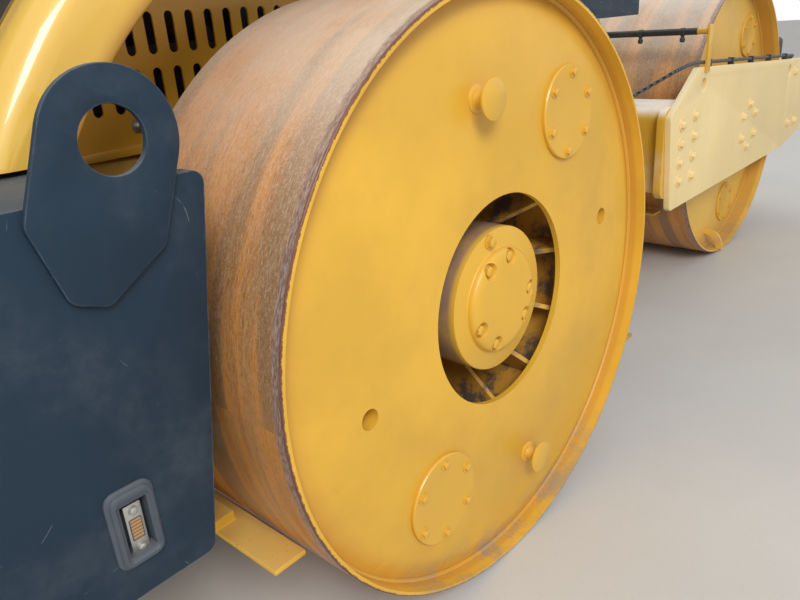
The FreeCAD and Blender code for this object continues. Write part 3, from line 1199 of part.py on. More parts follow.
def outside_mirror():
    """Outside mirror on its arm."""
    z = "cab_lintel - mirror_drop"
    x = "rear_x + cab_brow + mirror_back"
    arm = rod("mirror_tube", "mirror_arm", "mirror_reach", x, "-body_half - mirror_reach", z)
    head = block("mirror_head", f"{x} - mirror_depth / 2", "-body_half - mirror_reach - mirror_width / 2",
                 f"{z} + mirror_rise - mirror_height", "mirror_depth", "mirror_width", "mirror_height")
    return union("mirror", arm, head)


def roof_lamps():
    """Work lamps at the corners of the roof, front and rear."""
    lamps = []
    for x in ("cab_brow + roof_reach - lamp_setback",
              "cab_rear - roof_rear_reach + lamp_setback - lamp_depth"):
        for y in ("-body_half + lamp_inset", "body_half - lamp_inset - lamp_width"):
            lamps.append(block("roof_lamp", f"rear_x + {x}", y, "cab_roof_top", "lamp_depth", "lamp_width",
                               "lamp_height"))
    return union("lamps", *lamps)


def beacon():
    return rod("beacon", "beacon_radius", "beacon_height", "rear_x + cab_rear + beacon_back", "beacon_side",
               "cab_roof_top", "Z")


def rear_scraper():
    """Blade, holder and hanger behind a rear drum, under the tail box."""
    blade_start = "rear_x - blade_run - scraper_blade"
    holder_y, holder_side = "-half_width + holder_inset", "rear_drum_width - holder_inset"
    blade = block("blade", blade_start, "-half_width + blade_inset", "scraper_height - scraper_plate",
                  "scraper_blade", "rear_drum_width - blade_inset", "scraper_plate")
    holder = block("blade_holder", f"{blade_start} - holder_length", holder_y, "scraper_height",
                   "holder_length + scraper_blade - holder_setback", holder_side, "holder_plate")
    hanger = block("blade_hanger", "rear_x - tail_front_low - 2 * post_length",
                   f"{holder_y} + ({holder_side} - post_width) / 2", "scraper_height + holder_plate",
                   "post_length", "post_width", "tail_floor - scraper_height - holder_plate")
    return union("scraper_rear", blade, holder, hanger)


def fore_scraper():
    """Blade ahead of a rear drum, on an arm from the tank's underside."""
    inner = "-half_width + rear_drum_width"
    blade = block("fore_blade", "rear_x + blade_run", "-half_width + blade_end",
                  "scraper_height - scraper_plate", "scraper_blade", "rear_drum_width - blade_end",
                  "scraper_plate")
    arm = block("fore_arm", "rear_x + blade_run + holder_setback", f"{inner} - holder_width",
                "scraper_height",
                "holder_length", "holder_width", "holder_plate")
    post = block("fore_post", "rear_x + tank_rear + post_length", f"{inner} - post_width",
                 "scraper_height + holder_plate", "post_length", "post_width",
                 "tank_floor - scraper_height - holder_plate")
    return union("scraper_fore", blade, arm, post)


def plate_line(x):
    """Height of the side plates' top edge, at a distance ahead of the front axle."""
    return f"(plate_top - ({x} + plate_tail - plate_shoulder) * tan(plate_slope))"


def front_side_plate():
    """Big trapezoid plate beside the front drum, bolted to both cross beams, with two round holes."""
    belly, brow = "plate_floor - plate_belly", plate_line("plate_half - plate_brow")
    outline = (("-plate_tail + plate_heel", belly), ("-plate_tail", "beam_top - plate_cheek"),
               ("-plate_tail + plate_shoulder", "plate_top"), ("plate_half - plate_brow", brow),
               ("plate_half", f"{brow} - plate_jaw"),
               ("plate_half - plate_toe_step", "plate_floor + plate_toe"),
               ("plate_half - plate_toe_run", belly))
    plate = prism("plate", SIDE_VIEW, outline, "side_plate", "front_x", "-frame_half", "0",
                  corners=(0, 1, 2, 3, 4, 5, 6), radius="plate_corner")
    holes = [rod("tie_hole", "tie_radius", "3 * side_plate", f"front_x + {x}",
                 "-frame_half - 2 * side_plate",
                 f"{plate_line(x)} - {drop}")
             for x, drop in (("(-tie_rear)", "tie_rear_drop"), ("tie_fore", "tie_fore_drop"))]
    return cut("plate_bored", plate, *holes)


def rear_cross_beam():
    """Box beam with end flanges behind the drum, which holds the housing of the oscillation bearing."""
    outline = (("-beam_end", "beam_floor"), ("-beam_end", "rear_beam_top"), ("-beam_face", "rear_beam_top"),
               ("-beam_face", "beam_floor"))
    inner = "frame_half - beam_flange + beam_bite"
    beam = prism("rear_beam_box", SIDE_VIEW, outline, f"2 * ({inner})", "front_x", inner, "0", corners=(1,),
                 radius="rear_beam_round")
    low = "beam_floor - flange_step"
    rim = (("-beam_end - flange_back", low), ("-beam_end - flange_back", "rear_beam_top"),
           ("-beam_face", "rear_beam_top"), ("-beam_face", low))
    flanges = [prism("beam_flange_plate", SIDE_VIEW, rim, "beam_flange", "front_x", y, "0", corners=(0, 1),
                     radius="flange_round") for y in ("-frame_half + beam_flange", "frame_half")]
    housing = rod("bearing_housing", "journal_radius + housing_wall", "housing_length + beam_flange",
                  "pivot_x + link_reach + slide_gap", "0", "pivot_height", "X")
    bore = rod("bearing_bore", "journal_radius + running_gap", "journal_length + journal_shoulder",
               "pivot_x + link_reach", "0", "pivot_height", "X")
    return cut("rear_beam_bored", union("rear_beam", beam, *flanges, housing), bore)


def front_cross_beam():
    """Box beam ahead of the drum, with a sloping underside."""
    outline = (("beam_face", "beam_floor"), ("beam_face", "beam_top"), ("beam_end", "beam_top"),
               ("beam_end", "beam_floor + beam_slope"), ("beam_end - beam_slope_run", "beam_floor"))
    return prism("front_beam_box", SIDE_VIEW, outline, "2 * frame_half", "front_x", "frame_half", "0")


def front_drum():
    """One wide drum with a recessed disc and a shaft bore at each end."""
    rim = "drum_radius - rim_wall"
    far, bore_end = "front_drum_width - front_recess", "front_recess + shaft_bore"
    far_bore_end = "front_drum_width - front_recess - shaft_bore"
    bore = "shaft_radius + running_gap"
    outline = (("0", rim), ("0", "drum_radius"), ("front_drum_width", "drum_radius"),
               ("front_drum_width", rim),
               (far, rim), (far, bore), (far_bore_end, bore),
               (far_bore_end, "0"), (bore_end, "0"), (bore_end, bore),
               ("front_recess", bore), ("front_recess", rim))
    return turned("front_drum_body", outline, "front_x", "-front_drum_width / 2", "drum_radius",
                  corners=(1, 2),
                  radius="shell_edge")


def front_covers():
    """Round covers on the front drum's discs."""
    parts = []
    for k in range(int(size("front_cover_count"))):
        x, z = polar("front_cover_circle", f"(front_cover_angle + {k} * 360 / front_cover_count)", "front_x")
        parts.append(rod("front_cover", "cover_radius", "cover_plate", x,
                         "-front_drum_width / 2 + front_recess - cover_plate", z))
    return union("front_cover_set", *parts)


def front_stub():
    """Bearing flange on the side plate with the stub shaft that carries the front drum."""
    boss_length = "side_gap + front_recess - stub_gap"
    flange = rod("stub_flange_disc", "stub_flange", "side_gap - stub_gap", "front_x", "-frame_half",
                 "drum_radius")
    boss = rod("stub_boss_ring", "stub_boss", boss_length, "front_x", "-frame_half", "drum_radius")
    shaft = rod("stub_shaft", "shaft_radius", f"{boss_length} + shaft_bore", "front_x", "-frame_half",
                "drum_radius")
    return union("stub", flange, boss, shaft)


def spray_bar():
    """Tube across the back of the front drum, on two upright brackets."""
    half, height = "(frame_half + side_plate)", "plate_top + bar_rise"
    x = "front_x - bar_back"
    bar = rod("bar", "bar_radius", f"2 * {half}", x, f"-{half}", height)
    brackets = [block("bar_bracket", f"{x} - bracket_width / 2", y, "plate_top - bracket_foot",
                      "bracket_width", "bracket_plate", "bar_rise + 2 * bracket_foot")
                for y in (f"-{half} - bracket_plate", half)]
    return union("spray_bar", bar, *brackets)


def front_bumper():
    return block("bumper", "front_x + beam_end", "-bumper_half", "beam_floor + bumper_rise", "bumper_depth",
                 "2 * bumper_half", "bumper_height")


def head_lamps():
    """Two head lamps on the front beam."""
    return union("head_lamps", *[
        block("head_lamp", "front_x + beam_end - head_lamp_setback - head_lamp_depth",
              f"{way} * head_lamp_side - head_lamp_width / 2", "beam_top", "head_lamp_depth",
              "head_lamp_width",
              "head_lamp_height") for way in (-1, 1)])


def cable_run(name, x, y, along, length):
    """A straight stretch of the cable in its own plane, from x, y along a direction in that plane."""
    made = doc.addObject("Part::Cylinder", name)
    bind(made, Radius="cable_radius", Height=length)
    made.Placement = FreeCAD.Placement(FreeCAD.Vector(), FreeCAD.Rotation(FreeCAD.Vector(1, 1, 0), 90))
    bind(made, **{"Placement.Rotation.Axis.x": f"-({along[1]})", "Placement.Rotation.Axis.y": along[0]})
    return place(made, x, y, "0")


CABLE_Y = "(-frame_half - side_plate / 2)"
# way along the machine, start of the turn, turn, length of the straight end, top of the beam below
CABLE_ENDS = ((-1, "cable_start", "cable_turn", "cable_tail", "rear_beam_top"),
              (1, "cable_reach", "cable_fore_turn", "cable_fore_tail", "beam_top"))


def cable_end(way, start, turned_by, tail):
    """A turn of the cable and the straight end behind it, in the long run's own plane."""
    arc = doc.addObject("Part::Torus", "cable_arc")
    bind(arc, Radius1="cable_bend", Radius2="cable_radius", Angle3=turned_by)
    place(turn(arc, (0, 0, -1), f"90 + {turned_by}" if way < 0 else "90"), f"{way} * {start}", "cable_bend",
          "0")
    run = cable_run("cable_end", f"{way} * ({start} + cable_bend * sin({turned_by}))",
                    f"cable_bend * (1 - cos({turned_by}))",
                    (f"{way} * cos({turned_by})", f"sin({turned_by})"),
                    tail)
    return arc, run


def front_cable():
    """Lamp cable: from the rear beam up to the side plate, along its top and down to the front beam."""
    long_run = cable_run("cable_long", "-cable_start", "0", ("1", "0"), "cable_start + cable_reach")
    rear, fore = (cable_end(*end[:4]) for end in CABLE_ENDS)
    halves = [turn(union(name, *parts), (-1, 0, 0), "cable_tilt")
              for name, parts in (("cable_back", (long_run, *rear)), ("cable_ahead", fore))]
    return place(turn(union("cable", *halves), (0, 1, 0), "plate_slope"), "front_x", CABLE_Y,
                 f"{plate_line('0')} + cable_rise")


def cable_clips(cable):
    """Clips on the side plate's top edge and glands on both beams, cut for the cable."""
    side = "(cable_radius + clip_wall)"
    parts = []
    for k in range(int(size("clip_count"))):
        x = f"(-cable_start + ({k} + 0.5) * (cable_start + cable_reach) / clip_count - clip_length / 2)"
        clip = block("cable_clip", "0", "0", "0", "clip_length", f"2 * {side}", f"cable_rise + {side}")
        parts.append(place(turn(clip, (0, 1, 0), "plate_slope"), f"front_x + {x}", f"{CABLE_Y} - {side}",
                           plate_line(x)))
    for way, start, turned_by, tail, top in CABLE_ENDS:
        along = f"{way} * ({start} + cable_bend * sin({turned_by}) + {tail} * cos({turned_by}))"
        inward = f"(cable_bend * (1 - cos({turned_by})) + {tail} * sin({turned_by}))"
        x = f"{along} * cos(plate_slope) - {inward} * sin(cable_tilt) * sin(plate_slope)"
        parts.append(rod("cable_gland", "gland_radius", "gland_height", f"front_x + {x}",
                         f"{CABLE_Y} + {inward} * cos(cable_tilt)", top, "Z"))
    return cut("clips_cut", union("clips", *parts), cable)


def beam_scraper(way):
    """Scraper blade across the front drum, on two arms below a cross beam."""
    width = "(front_drum_width - 2 * front_blade_inset)"
    reach = "(arm_tip - blade_run - holder_setback)"
    blade_x, arm_x, post_x = (
        ("-blade_run - scraper_blade", "-arm_tip", "-arm_tip") if way < 0 else
        ("blade_run", "blade_run + holder_setback", "arm_tip - post_length"))
    parts = [block("beam_blade", f"front_x + ({blade_x})", f"-{width} / 2", "scraper_height - scraper_plate",
                   "scraper_blade", width, "scraper_plate")]
    for side in (-1, 1):
        y = f"{side} * front_arm_side - front_arm_width / 2"
        parts.append(block("blade_arm", f"front_x + ({arm_x})", y, "scraper_height", reach,
                           "front_arm_width",
                           "holder_plate"))
        parts.append(block("blade_post", f"front_x + ({post_x})", y, "scraper_height + holder_plate",
                           "post_length", "front_arm_width", "beam_floor - scraper_height - holder_plate"))
    return union("beam_scraper", *parts)


def steering_barrel():
    """Cylinder barrel whose rear eye turns on a pin inside the chassis."""
    x = "pivot_x - steer_base"
    eye = rod("barrel_eye", "barrel_radius", "2 * eye_half", x, "-steer_side", "pivot_height - eye_half",
              "Z")
    neck = block("barrel_neck", x, "-steer_side - neck_half", "pivot_height - eye_half",
                 "neck_length + bore_wall / 2", "2 * neck_half", "2 * eye_half")
    tube = rod("barrel_tube", "barrel_radius", "barrel_length - neck_length", f"{x} + neck_length",
               "-steer_side", "pivot_height", "X")
    bore = rod("barrel_bore", "rod_radius + running_gap", "barrel_length", f"{x} + neck_length + bore_wall",
               "-steer_side", "pivot_height", "X")
    hole = rod("barrel_hole", "eye_pin_radius + running_gap", "4 * eye_half", x, "-steer_side",
               "pivot_height - 2 * eye_half", "Z")
    return cut("barrel_bored", union("barrel", eye, neck, tube), bore, hole)


def steering_rod():
    """Piston rod whose front eye stands between the link's arm plates."""
    x = "pivot_x + arm_ahead"
    eye = rod("rod_eye", "eye_radius", "2 * eye_half", x, "-steer_side", "pivot_height - eye_half", "Z")
    shank = rod("rod_shank", "rod_radius", "rod_length", f"{x} - rod_length", "-steer_side", "pivot_height",
                "X")
    hole = rod("rod_hole", "eye_pin_radius + running_gap", "4 * eye_half", x, "-steer_side",
               "pivot_height - 2 * eye_half", "Z")
    return cut("rod_bored", union("rod", eye, shank), hole)


node("rear_axle", rear_axle())
node("rear_chassis", chassis())
node("steering_pin", steering_pin())
node("centre_link", centre_link())
node("tail_box", tail_box())
pair("tail_lamps", tail_lamp())
pair("lifting_lugs", lifting_lug())
pair("side_marker_lamps", marker_lamp())
node("engine_block", engine())
pair("slotted_panels", side_panel())
node("engine_hood", hood())
pair("hood_grilles", side_grille())
node("exhaust_stack", exhaust())
cab = cab_shell()
node("cab_body", cab_part("cab_tub", cab, "cab_floor", "knee - cab_floor"))
node("cab_frame", cab_part("cab_pillars", cab, "knee", "cab_eave - knee"))
node("cab_roof", cab_roof())
node("windscreen", windscreen())
node("rear_window", rear_glass())
pair("side_windows", side_glass())
sides("cab_door", door())
sides("door_window", door_glass())
node("cab_support", cab_support())
node("cab_mounts", cab_mounts())
node("driver_seat", seat())
node("steering_console", console())
node("steering_wheel", steering_wheel())
sides("steering_barrel", steering_barrel())
sides("steering_rod", steering_rod())
pair("side_tanks", tank())
pair("access_steps", steps())
pair("handrails", handrail())
pair("outside_mirrors", outside_mirror())
node("roof_lamps", roof_lamps())
node("beacon", beacon())
pair("rear_drum_scrapers", rear_scraper())
pair("fore_drum_scrapers", fore_scraper())
sides("rear_drum", rear_drum())
sides("rear_hub", rear_hub())
sides("drum_fittings", rear_fittings())
pair("side_plates", front_side_plate())
node("rear_beam", rear_cross_beam())
node("front_beam", front_cross_beam())
node("front_drum", front_drum())
pair("front_drum_covers", front_covers())
pair("front_stub_shafts", front_stub())
node("spray_bar", spray_bar())
node("front_bumper", front_bumper())
node("head_lamps", head_lamps())
lamp_cable = node("front_cable", front_cable())
node("cable_clips", cable_clips(lamp_cable))
node("front_scrapers", union("front_scraper_pair", beam_scraper(-1), beam_scraper(1)))

doc.recompute()
failed = [f"{thing.Label}: {thing.State}" for thing in doc.Objects
          if {"Invalid", "Error"} & set(thing.State)]
for label, thing in nodes:
    shape = thing.Shape
    if shape.isNull() or not shape.isValid() or not shape.Solids:
        failed.append(f"{label}: no valid solid")
if failed:
    raise RuntimeError("; ".join(failed))

os.makedirs("parts", exist_ok=True)
for label, thing in nodes:
    thing.Shape.exportStep(f"parts/{label}.step")
box = Part.makeCompound([thing.Shape for _, thing in nodes]).BoundBox
for label, thing in nodes:
    b = thing.Shape.BoundBox
    print(label, len(thing.Shape.Solids), [round(v) for v in (b.XMin, b.XMax, b.YMin, b.YMax, b.ZMin,
                                                              b.ZMax)])
print(len(nodes), "nodes,", [round(v, 2) for v in (box.XMin, box.XMax, box.YMin, box.YMax, box.ZMin,
                                                   box.ZMax)])
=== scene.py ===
"""The three-drum road roller's visual model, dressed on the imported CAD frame.

Laid out as a Blender add-on and run as a script: one operator for each piece or group of like pieces.
"""
import json
from math import cos, pi, radians, sin, sqrt

import bmesh
import bpy
import numpy as np
from mathutils import Matrix, Vector


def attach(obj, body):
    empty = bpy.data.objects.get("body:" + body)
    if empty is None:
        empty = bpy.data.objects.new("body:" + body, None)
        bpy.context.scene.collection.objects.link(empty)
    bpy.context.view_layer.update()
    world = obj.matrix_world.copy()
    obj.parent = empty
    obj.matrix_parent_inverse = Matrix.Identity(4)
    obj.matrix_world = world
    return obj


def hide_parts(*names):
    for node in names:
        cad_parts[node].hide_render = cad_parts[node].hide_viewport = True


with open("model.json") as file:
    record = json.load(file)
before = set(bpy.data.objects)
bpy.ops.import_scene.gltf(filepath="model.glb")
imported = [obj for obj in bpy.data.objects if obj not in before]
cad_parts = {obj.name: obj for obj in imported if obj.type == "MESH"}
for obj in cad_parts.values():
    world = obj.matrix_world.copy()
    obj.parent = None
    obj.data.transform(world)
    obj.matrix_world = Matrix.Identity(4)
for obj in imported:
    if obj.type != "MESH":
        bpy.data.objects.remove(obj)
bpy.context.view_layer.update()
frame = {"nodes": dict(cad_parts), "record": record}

bl_info = {
    "name": "Three-Drum Roller",
    "version": (1, 0, 0),
    "blender": (4, 5, 0),
    "location": "3D View > Sidebar > Roller",
    "description": "Builds a static three-drum road roller on its CAD frame",
    "category": "Object",
}

REAR_AXLE, FRONT_AXLE, DRUM_RADIUS = -1.4, 1.72, 0.8
REAR_CENTRE, FRONT_CENTRE = (REAR_AXLE, 0, DRUM_RADIUS), (FRONT_AXLE, 0, DRUM_RADIUS)
REAR_OUTER, FRONT_OUTER = 1.16, 0.71
BEAD_RADIUS = 0.786
PLATE_FACE, HUB_FACE, POCKET_FLOOR = 0.790, 1.104, 1.1085
SIDES = (("right", -1), ("left", 1))
UP, AHEAD = (0, 0, 1), (1, 0, 0)


class RollerPaint(bpy.types.PropertyGroup):
    """Colours that a user would change."""
    body: bpy.props.FloatVectorProperty(
        name="Body paint", description="Yellow of the drums' discs, frame, hood and cab", subtype="COLOR",
        size=3, min=0, max=1, default=(0.79, 0.450, 0.045))
    ballast: bpy.props.FloatVectorProperty(
        name="Ballast paint", description="Slate paint of the tail box and lugs", subtype="COLOR",
        size=3, min=0, max=1, default=(0.016, 0.034, 0.057))
    trim: bpy.props.FloatVectorProperty(
        name="Trim paint", description="Dark paint of the grilles and steps", subtype="COLOR",
        size=3, min=0, max=1, default=(0.020, 0.021, 0.023))
    rust: bpy.props.FloatVectorProperty(
        name="Tread rust", description="Rust of the drums' treads", subtype="COLOR",
        size=3, min=0, max=1, default=(0.60, 0.250, 0.062))
    floor: bpy.props.FloatVectorProperty(
        name="Floor", description="Floor of the studio", subtype="COLOR",
        size=3, min=0, max=1, default=(0.60, 0.59, 0.57))


class RollerSizes(bpy.types.PropertyGroup):
    """Sizes of the small parts."""
    cover_bolt: bpy.props.FloatProperty(
        name="Cover bolt", description="Radius of the bolt heads on the drums' covers", default=0.0105,
        unit="LENGTH")
    frame_bolt: bpy.props.FloatProperty(
        name="Frame bolt", description="Radius of the bolt heads on the side plates", default=0.019,
        unit="LENGTH")
    hub_bolt: bpy.props.FloatProperty(
        name="Hub bolt", description="Radius of the bolt heads on the hubs", default=0.0145, unit="LENGTH")
    disc_dirt: bpy.props.FloatProperty(
        name="Disc dirt", description="How dirty the drums' discs are", default=0.35, min=0, max=1,
        subtype="FACTOR")
    grille_pitch: bpy.props.FloatProperty(
        name="Grille pitch", description="Distance between the grilles' slats", default=0.032, unit="LENGTH")
    edge_radius: bpy.props.FloatProperty(
        name="Edge radius", description="Rounding of the plates' edges", default=0.003, unit="LENGTH")


def paint():
    return bpy.context.scene.roller_paint


def sizes():
    return bpy.context.scene.roller_sizes


# Node trees

FLOAT, VECTOR, WHOLE = "NodeSocketFloat", "NodeSocketVector", "NodeSocketInt"
GEOMETRY, MATERIAL = "NodeSocketGeometry", "NodeSocketMaterial"


class Tree:
    """Short calls to add nodes to one node tree."""

    def __init__(self, tree):
        self.tree = tree

    def add(self, kind, ins=None, **settings):
        made = self.tree.nodes.new(kind)
        for key, value in settings.items():
            setattr(made, key, value)
        for key, value in (ins or {}).items():
            self.put(made.inputs[key], value)
        return made

    def put(self, socket, value):
        if isinstance(value, bpy.types.NodeSocket):
            self.tree.links.new(value, socket)
        elif isinstance(value, (tuple, list)) and socket.type == "RGBA" and len(value) == 3:
            socket.default_value = (*value, 1)
        else:
            socket.default_value = value

    def dress(self, **ins):
        """Sets or links sockets of the material's own shader."""
        for key, value in ins.items():
            self.put(self.shader.inputs[key.replace("_", " ")], value)

    def math(self, operation, *values, clamp=False):
        return self.add("ShaderNodeMath", dict(enumerate(values)), operation=operation,
                        use_clamp=clamp).outputs[0]

    def times(self, *values, clamp=False):
        return self.math("MULTIPLY", *values, clamp=clamp)

    def plus(self, *values, clamp=False):
        return self.math("ADD", *values, clamp=clamp)

    def minus(self, *values, clamp=False):
        return self.math("SUBTRACT", *values, clamp=clamp)

    def vector(self, operation, *values, out=0):
        return self.add("ShaderNodeVectorMath", dict(enumerate(values)), operation=operation).outputs[out]

    def split(self, vector):
        return self.add("ShaderNodeSeparateXYZ", {0: vector}).outputs

    def join(self, x, y, z):
        return self.add("ShaderNodeCombineXYZ", {0: x, 1: y, 2: z}).outputs[0]

    def noise(self, vector, scale, detail=3.0, rough=0.55, distortion=0.0):
        return self.add("ShaderNodeTexNoise", {"Vector": vector, "Scale": scale, "Detail": detail,
                                               "Roughness": rough, "Distortion": distortion}).outputs["Fac"]

    def ramp(self, value, low, high, to_low=0.0, to_high=1.0):
        return self.add("ShaderNodeMapRange", {"Value": value, "From Min": low, "From Max": high,
                                               "To Min": to_low, "To Max": to_high},
                        interpolation_type="SMOOTHSTEP").outputs[0]

    def mix(self, share, low, high):
        return self.add("ShaderNodeMix", {0: share, 6: low, 7: high}, data_type="RGBA").outputs[2]

    def layer(self, base, mask, share, colour):
        """Lays a share of a colour on the base where the mask is."""
        return self.mix(self.times(mask, share), base, colour)

    def group(self, name, **ins):
        made = self.add("ShaderNodeGroup", node_tree=GROUPS[name])
        for key, value in ins.items():
            self.put(made.inputs[key.replace("_", " ")], value)
        return made.outputs

    def facing_up(self):
        return self.split(self.add("ShaderNodeNewGeometry").outputs["Normal"])[2]

    def bump(self, height, strength, distance, before=None):
        ins = {"Height": height, "Strength": strength, "Distance": distance}
        if before is not None:
            ins["Normal"] = before
        return self.add("ShaderNodeBump", ins).outputs[0]


def new_tree(name, ins, outs, kind="ShaderNodeTree"):
    """An empty node group with named sockets: label, kind, default."""
    tree = bpy.data.node_groups.new(name, kind)
    for label, socket_type, default in ins:
        socket = tree.interface.new_socket(label, in_out="INPUT", socket_type=socket_type)
        if default is not None:
            socket.default_value = default
    for label, socket_type in outs:
        tree.interface.new_socket(label, in_out="OUTPUT", socket_type=socket_type)
    made = Tree(tree)
    made.source = made.add("NodeGroupInput").outputs
    made.sink = made.add("NodeGroupOutput").inputs
    return made


def dust_group():
    """Mask of settled dust, which on some paints also stands for a painted sky reflection: more on faces
    that look up, broken by cloudy noise.
    """
    t = new_tree("Settled dust and painted sheen", (("Vector", VECTOR, None), ("Amount", FLOAT, 0.3), ("Scale", FLOAT, 3.0)),
                 (("Mask", FLOAT),))
    cloud = t.noise(t.source["Vector"], t.source["Scale"], 6, 0.65)
    top = t.times(t.ramp(t.facing_up(), 0.2, 0.95), t.ramp(cloud, 0.2, 0.7, 0.5, 1.0))
    film = t.times(t.ramp(cloud, 0.48, 0.78), 0.35)
    t.put(t.sink["Mask"], t.times(t.math("MAXIMUM", top, film), t.source["Amount"], clamp=True))
    return t.tree


def speck_group():
    """Mask of small scattered specks."""
    t = new_tree("Specks", (("Vector", VECTOR, None), ("Scale", FLOAT, 60.0), ("Size", FLOAT, 0.1),
                            ("Spread", FLOAT, 0.5)), (("Mask", FLOAT),))
    cell = t.add("ShaderNodeTexVoronoi", {"Vector": t.source["Vector"], "Scale": t.source["Scale"]}).outputs
    size, chance, _ = t.split(cell["Color"])
    near = t.math("LESS_THAN", cell["Distance"], t.times(t.source["Size"], size))
    t.put(t.sink["Mask"], t.times(near, t.math("GREATER_THAN", chance, t.source["Spread"])))
    return t.tree


def streak_group():
    """Mask of runs down upright faces."""
    t = new_tree("Runs", (("Vector", VECTOR, None), ("Scale", FLOAT, 14.0), ("Stretch", FLOAT, 0.06),
                          ("Amount", FLOAT, 0.3)), (("Mask", FLOAT),))
    x, y, z = t.split(t.source["Vector"])
    fine = t.noise(t.join(x, y, t.times(z, t.source["Stretch"])), t.source["Scale"], 5, 0.7)
    mask = t.times(t.ramp(fine, 0.52, 0.74), t.ramp(t.noise(t.source["Vector"], 2.4, 2), 0.35, 0.65))
    mask = t.times(mask, t.minus(1.0, t.math("ABSOLUTE", t.facing_up())))
    t.put(t.sink["Mask"], t.times(mask, t.source["Amount"], clamp=True))
    return t.tree


def edge_group():
    """Mask of worn edges: where the rounded normal leaves the real one, broken by noise."""
    t = new_tree("Edge wear", (("Vector", VECTOR, None), ("Width", FLOAT, 0.004), ("Amount", FLOAT, 0.5),
                               ("Scale", FLOAT, 20.0)), (("Mask", FLOAT),))
    soft = t.add("ShaderNodeBevel", {"Radius": t.source["Width"]}, samples=6).outputs[0]
    hard = t.add("ShaderNodeNewGeometry").outputs["Normal"]
    bend = t.minus(1.0, t.vector("DOT_PRODUCT", soft, hard, out=1))
    broken = t.ramp(t.noise(t.source["Vector"], t.source["Scale"], 5, 0.7), 0.38, 0.62)
    mask = t.times(t.ramp(bend, 0.012, 0.11), t.plus(0.25, t.times(broken, 0.75)))
    t.put(t.sink["Mask"], t.times(mask, t.source["Amount"], clamp=True))
    return t.tree


def drum_group():
    """Places on a drum about an axis along Y: radius, distance from the middle, and circular streaks."""
    t = new_tree("Rolled drum", (("Vector", VECTOR, None), ("Axle X", FLOAT, 0.0), ("Axle Z", FLOAT, 0.8),
                                 ("Streak scale", FLOAT, 30.0)),
                 (("Radius", FLOAT), ("Across", FLOAT), ("Streaks", FLOAT), ("Blotches", FLOAT),
                  ("Scratches", FLOAT), ("Round", VECTOR), ("Turn", FLOAT)))
    x, y, z = t.split(t.source["Vector"])
    dx, dz = t.minus(x, t.source["Axle X"]), t.minus(z, t.source["Axle Z"])
    along = t.vector("NORMALIZE", t.join(dx, 0.0, dz))
    ax, _, az = t.split(along)
    coarse = t.join(t.times(ax, 2.2), t.times(y, t.source["Streak scale"]), t.times(az, 2.2))
    fine = t.join(t.times(ax, 44.0), t.times(y, 260.0), t.times(az, 44.0))
    for label, value in (("Turn", t.math("ARCTAN2", dz, dx)),
                         ("Radius", t.math("SQRT", t.plus(t.times(dx, dx), t.times(dz, dz)))),
                         ("Across", t.math("ABSOLUTE", y)), ("Streaks", t.noise(coarse, 1.0, 4, 0.55, 0.1)),
                         ("Blotches", t.noise(t.source["Vector"], 3.2, 6, 0.6, 0.4)),
                         ("Scratches", t.noise(fine, 1.0, 4, 0.7)), ("Round", along)):
        t.put(t.sink[label], value)
    return t.tree


# Finishes

GROUPS, MATERIALS = {}, {}
GRIME = (0.10, 0.07, 0.045)


def tinted(colour, *factors):
    """A colour times one factor, or one for each channel, and never past 1."""
    return tuple(min(1, c * f) for c, f in zip(colour, factors * (3 // len(factors))))


def start_material(name):
    made = MATERIALS[name] = bpy.data.materials.new(name)
    made.use_nodes = True
    t = Tree(made.node_tree)
    t.shader = made.node_tree.nodes["Principled BSDF"]
    t.place = t.add("ShaderNodeTexCoord").outputs["Object"]
    return t


def painted(name, colour, dust, wear, runs=(0.1, GRIME), specks=None, rough=0.38, peel=0.12, coat=0.0,
            shade=0.78,
            scratches=0.0, deep=None, gloss=0.5):
    """Satin machine paint; dust, wear, runs and specks each have an amount and a colour; on some paints the
    dust also stands for a painted sky reflection on the tops.
    """
    t = start_material(name)
    cloud = t.noise(t.place, 1.7, 5, 0.6)
    look = t.mix(t.ramp(cloud, 0.35, 0.7), tinted(colour, shade), colour)
    look = t.mix(t.group("runs", Vector=t.place, Amount=runs[0])[0], look, runs[1])
    film = t.group("dust", Vector=t.place, Amount=dust[0])[0]
    look = t.mix(film, look, dust[1])
    if specks:
        mask = t.group("specks", Vector=t.place, Scale=70.0, Size=0.17, Spread=1 - specks[0])[0]
        look = t.layer(look, mask, 0.7, specks[1])
    if scratches:
        away = t.math("ABSOLUTE", t.minus(t.noise(t.place, 5.0, 0.0, 0.4), 0.5))
        some = t.times(t.ramp(t.noise(t.place, 19.0, 3), 0.56, 0.64), scratches)
        look = t.mix(t.times(t.ramp(away, 0.0030, 0.0), some), look, specks[1])
    look = t.mix(t.group("edges", Vector=t.place, Amount=wear[0])[0], look, wear[1])
    # Deep layer: a colour laid towards the machine's middle; on the hub's side it is grime together with
    # painted shade.
    if deep:
        start, end, deep_colour = deep
        inward = t.ramp(t.math("ABSOLUTE", t.split(t.place)[1]), start, end)
        look = t.layer(look, inward, t.ramp(t.noise(t.place, 8.0, 5, 0.65), 0.25, 0.65, 0.55, 1.0),
                       deep_colour)
    dull = t.times(t.math("MAXIMUM", film, t.ramp(cloud, 0.4, 0.9)), 0.35)
    t.dress(Base_Color=look, Roughness=t.plus(rough, dull, clamp=True), Coat_Weight=coat,
            Specular_IOR_Level=gloss,
            Normal=t.bump(t.noise(t.place, 420.0, 2), peel, 0.0004,
                          t.bump(t.noise(t.place, 9.0, 3), 0.12, 0.004)))


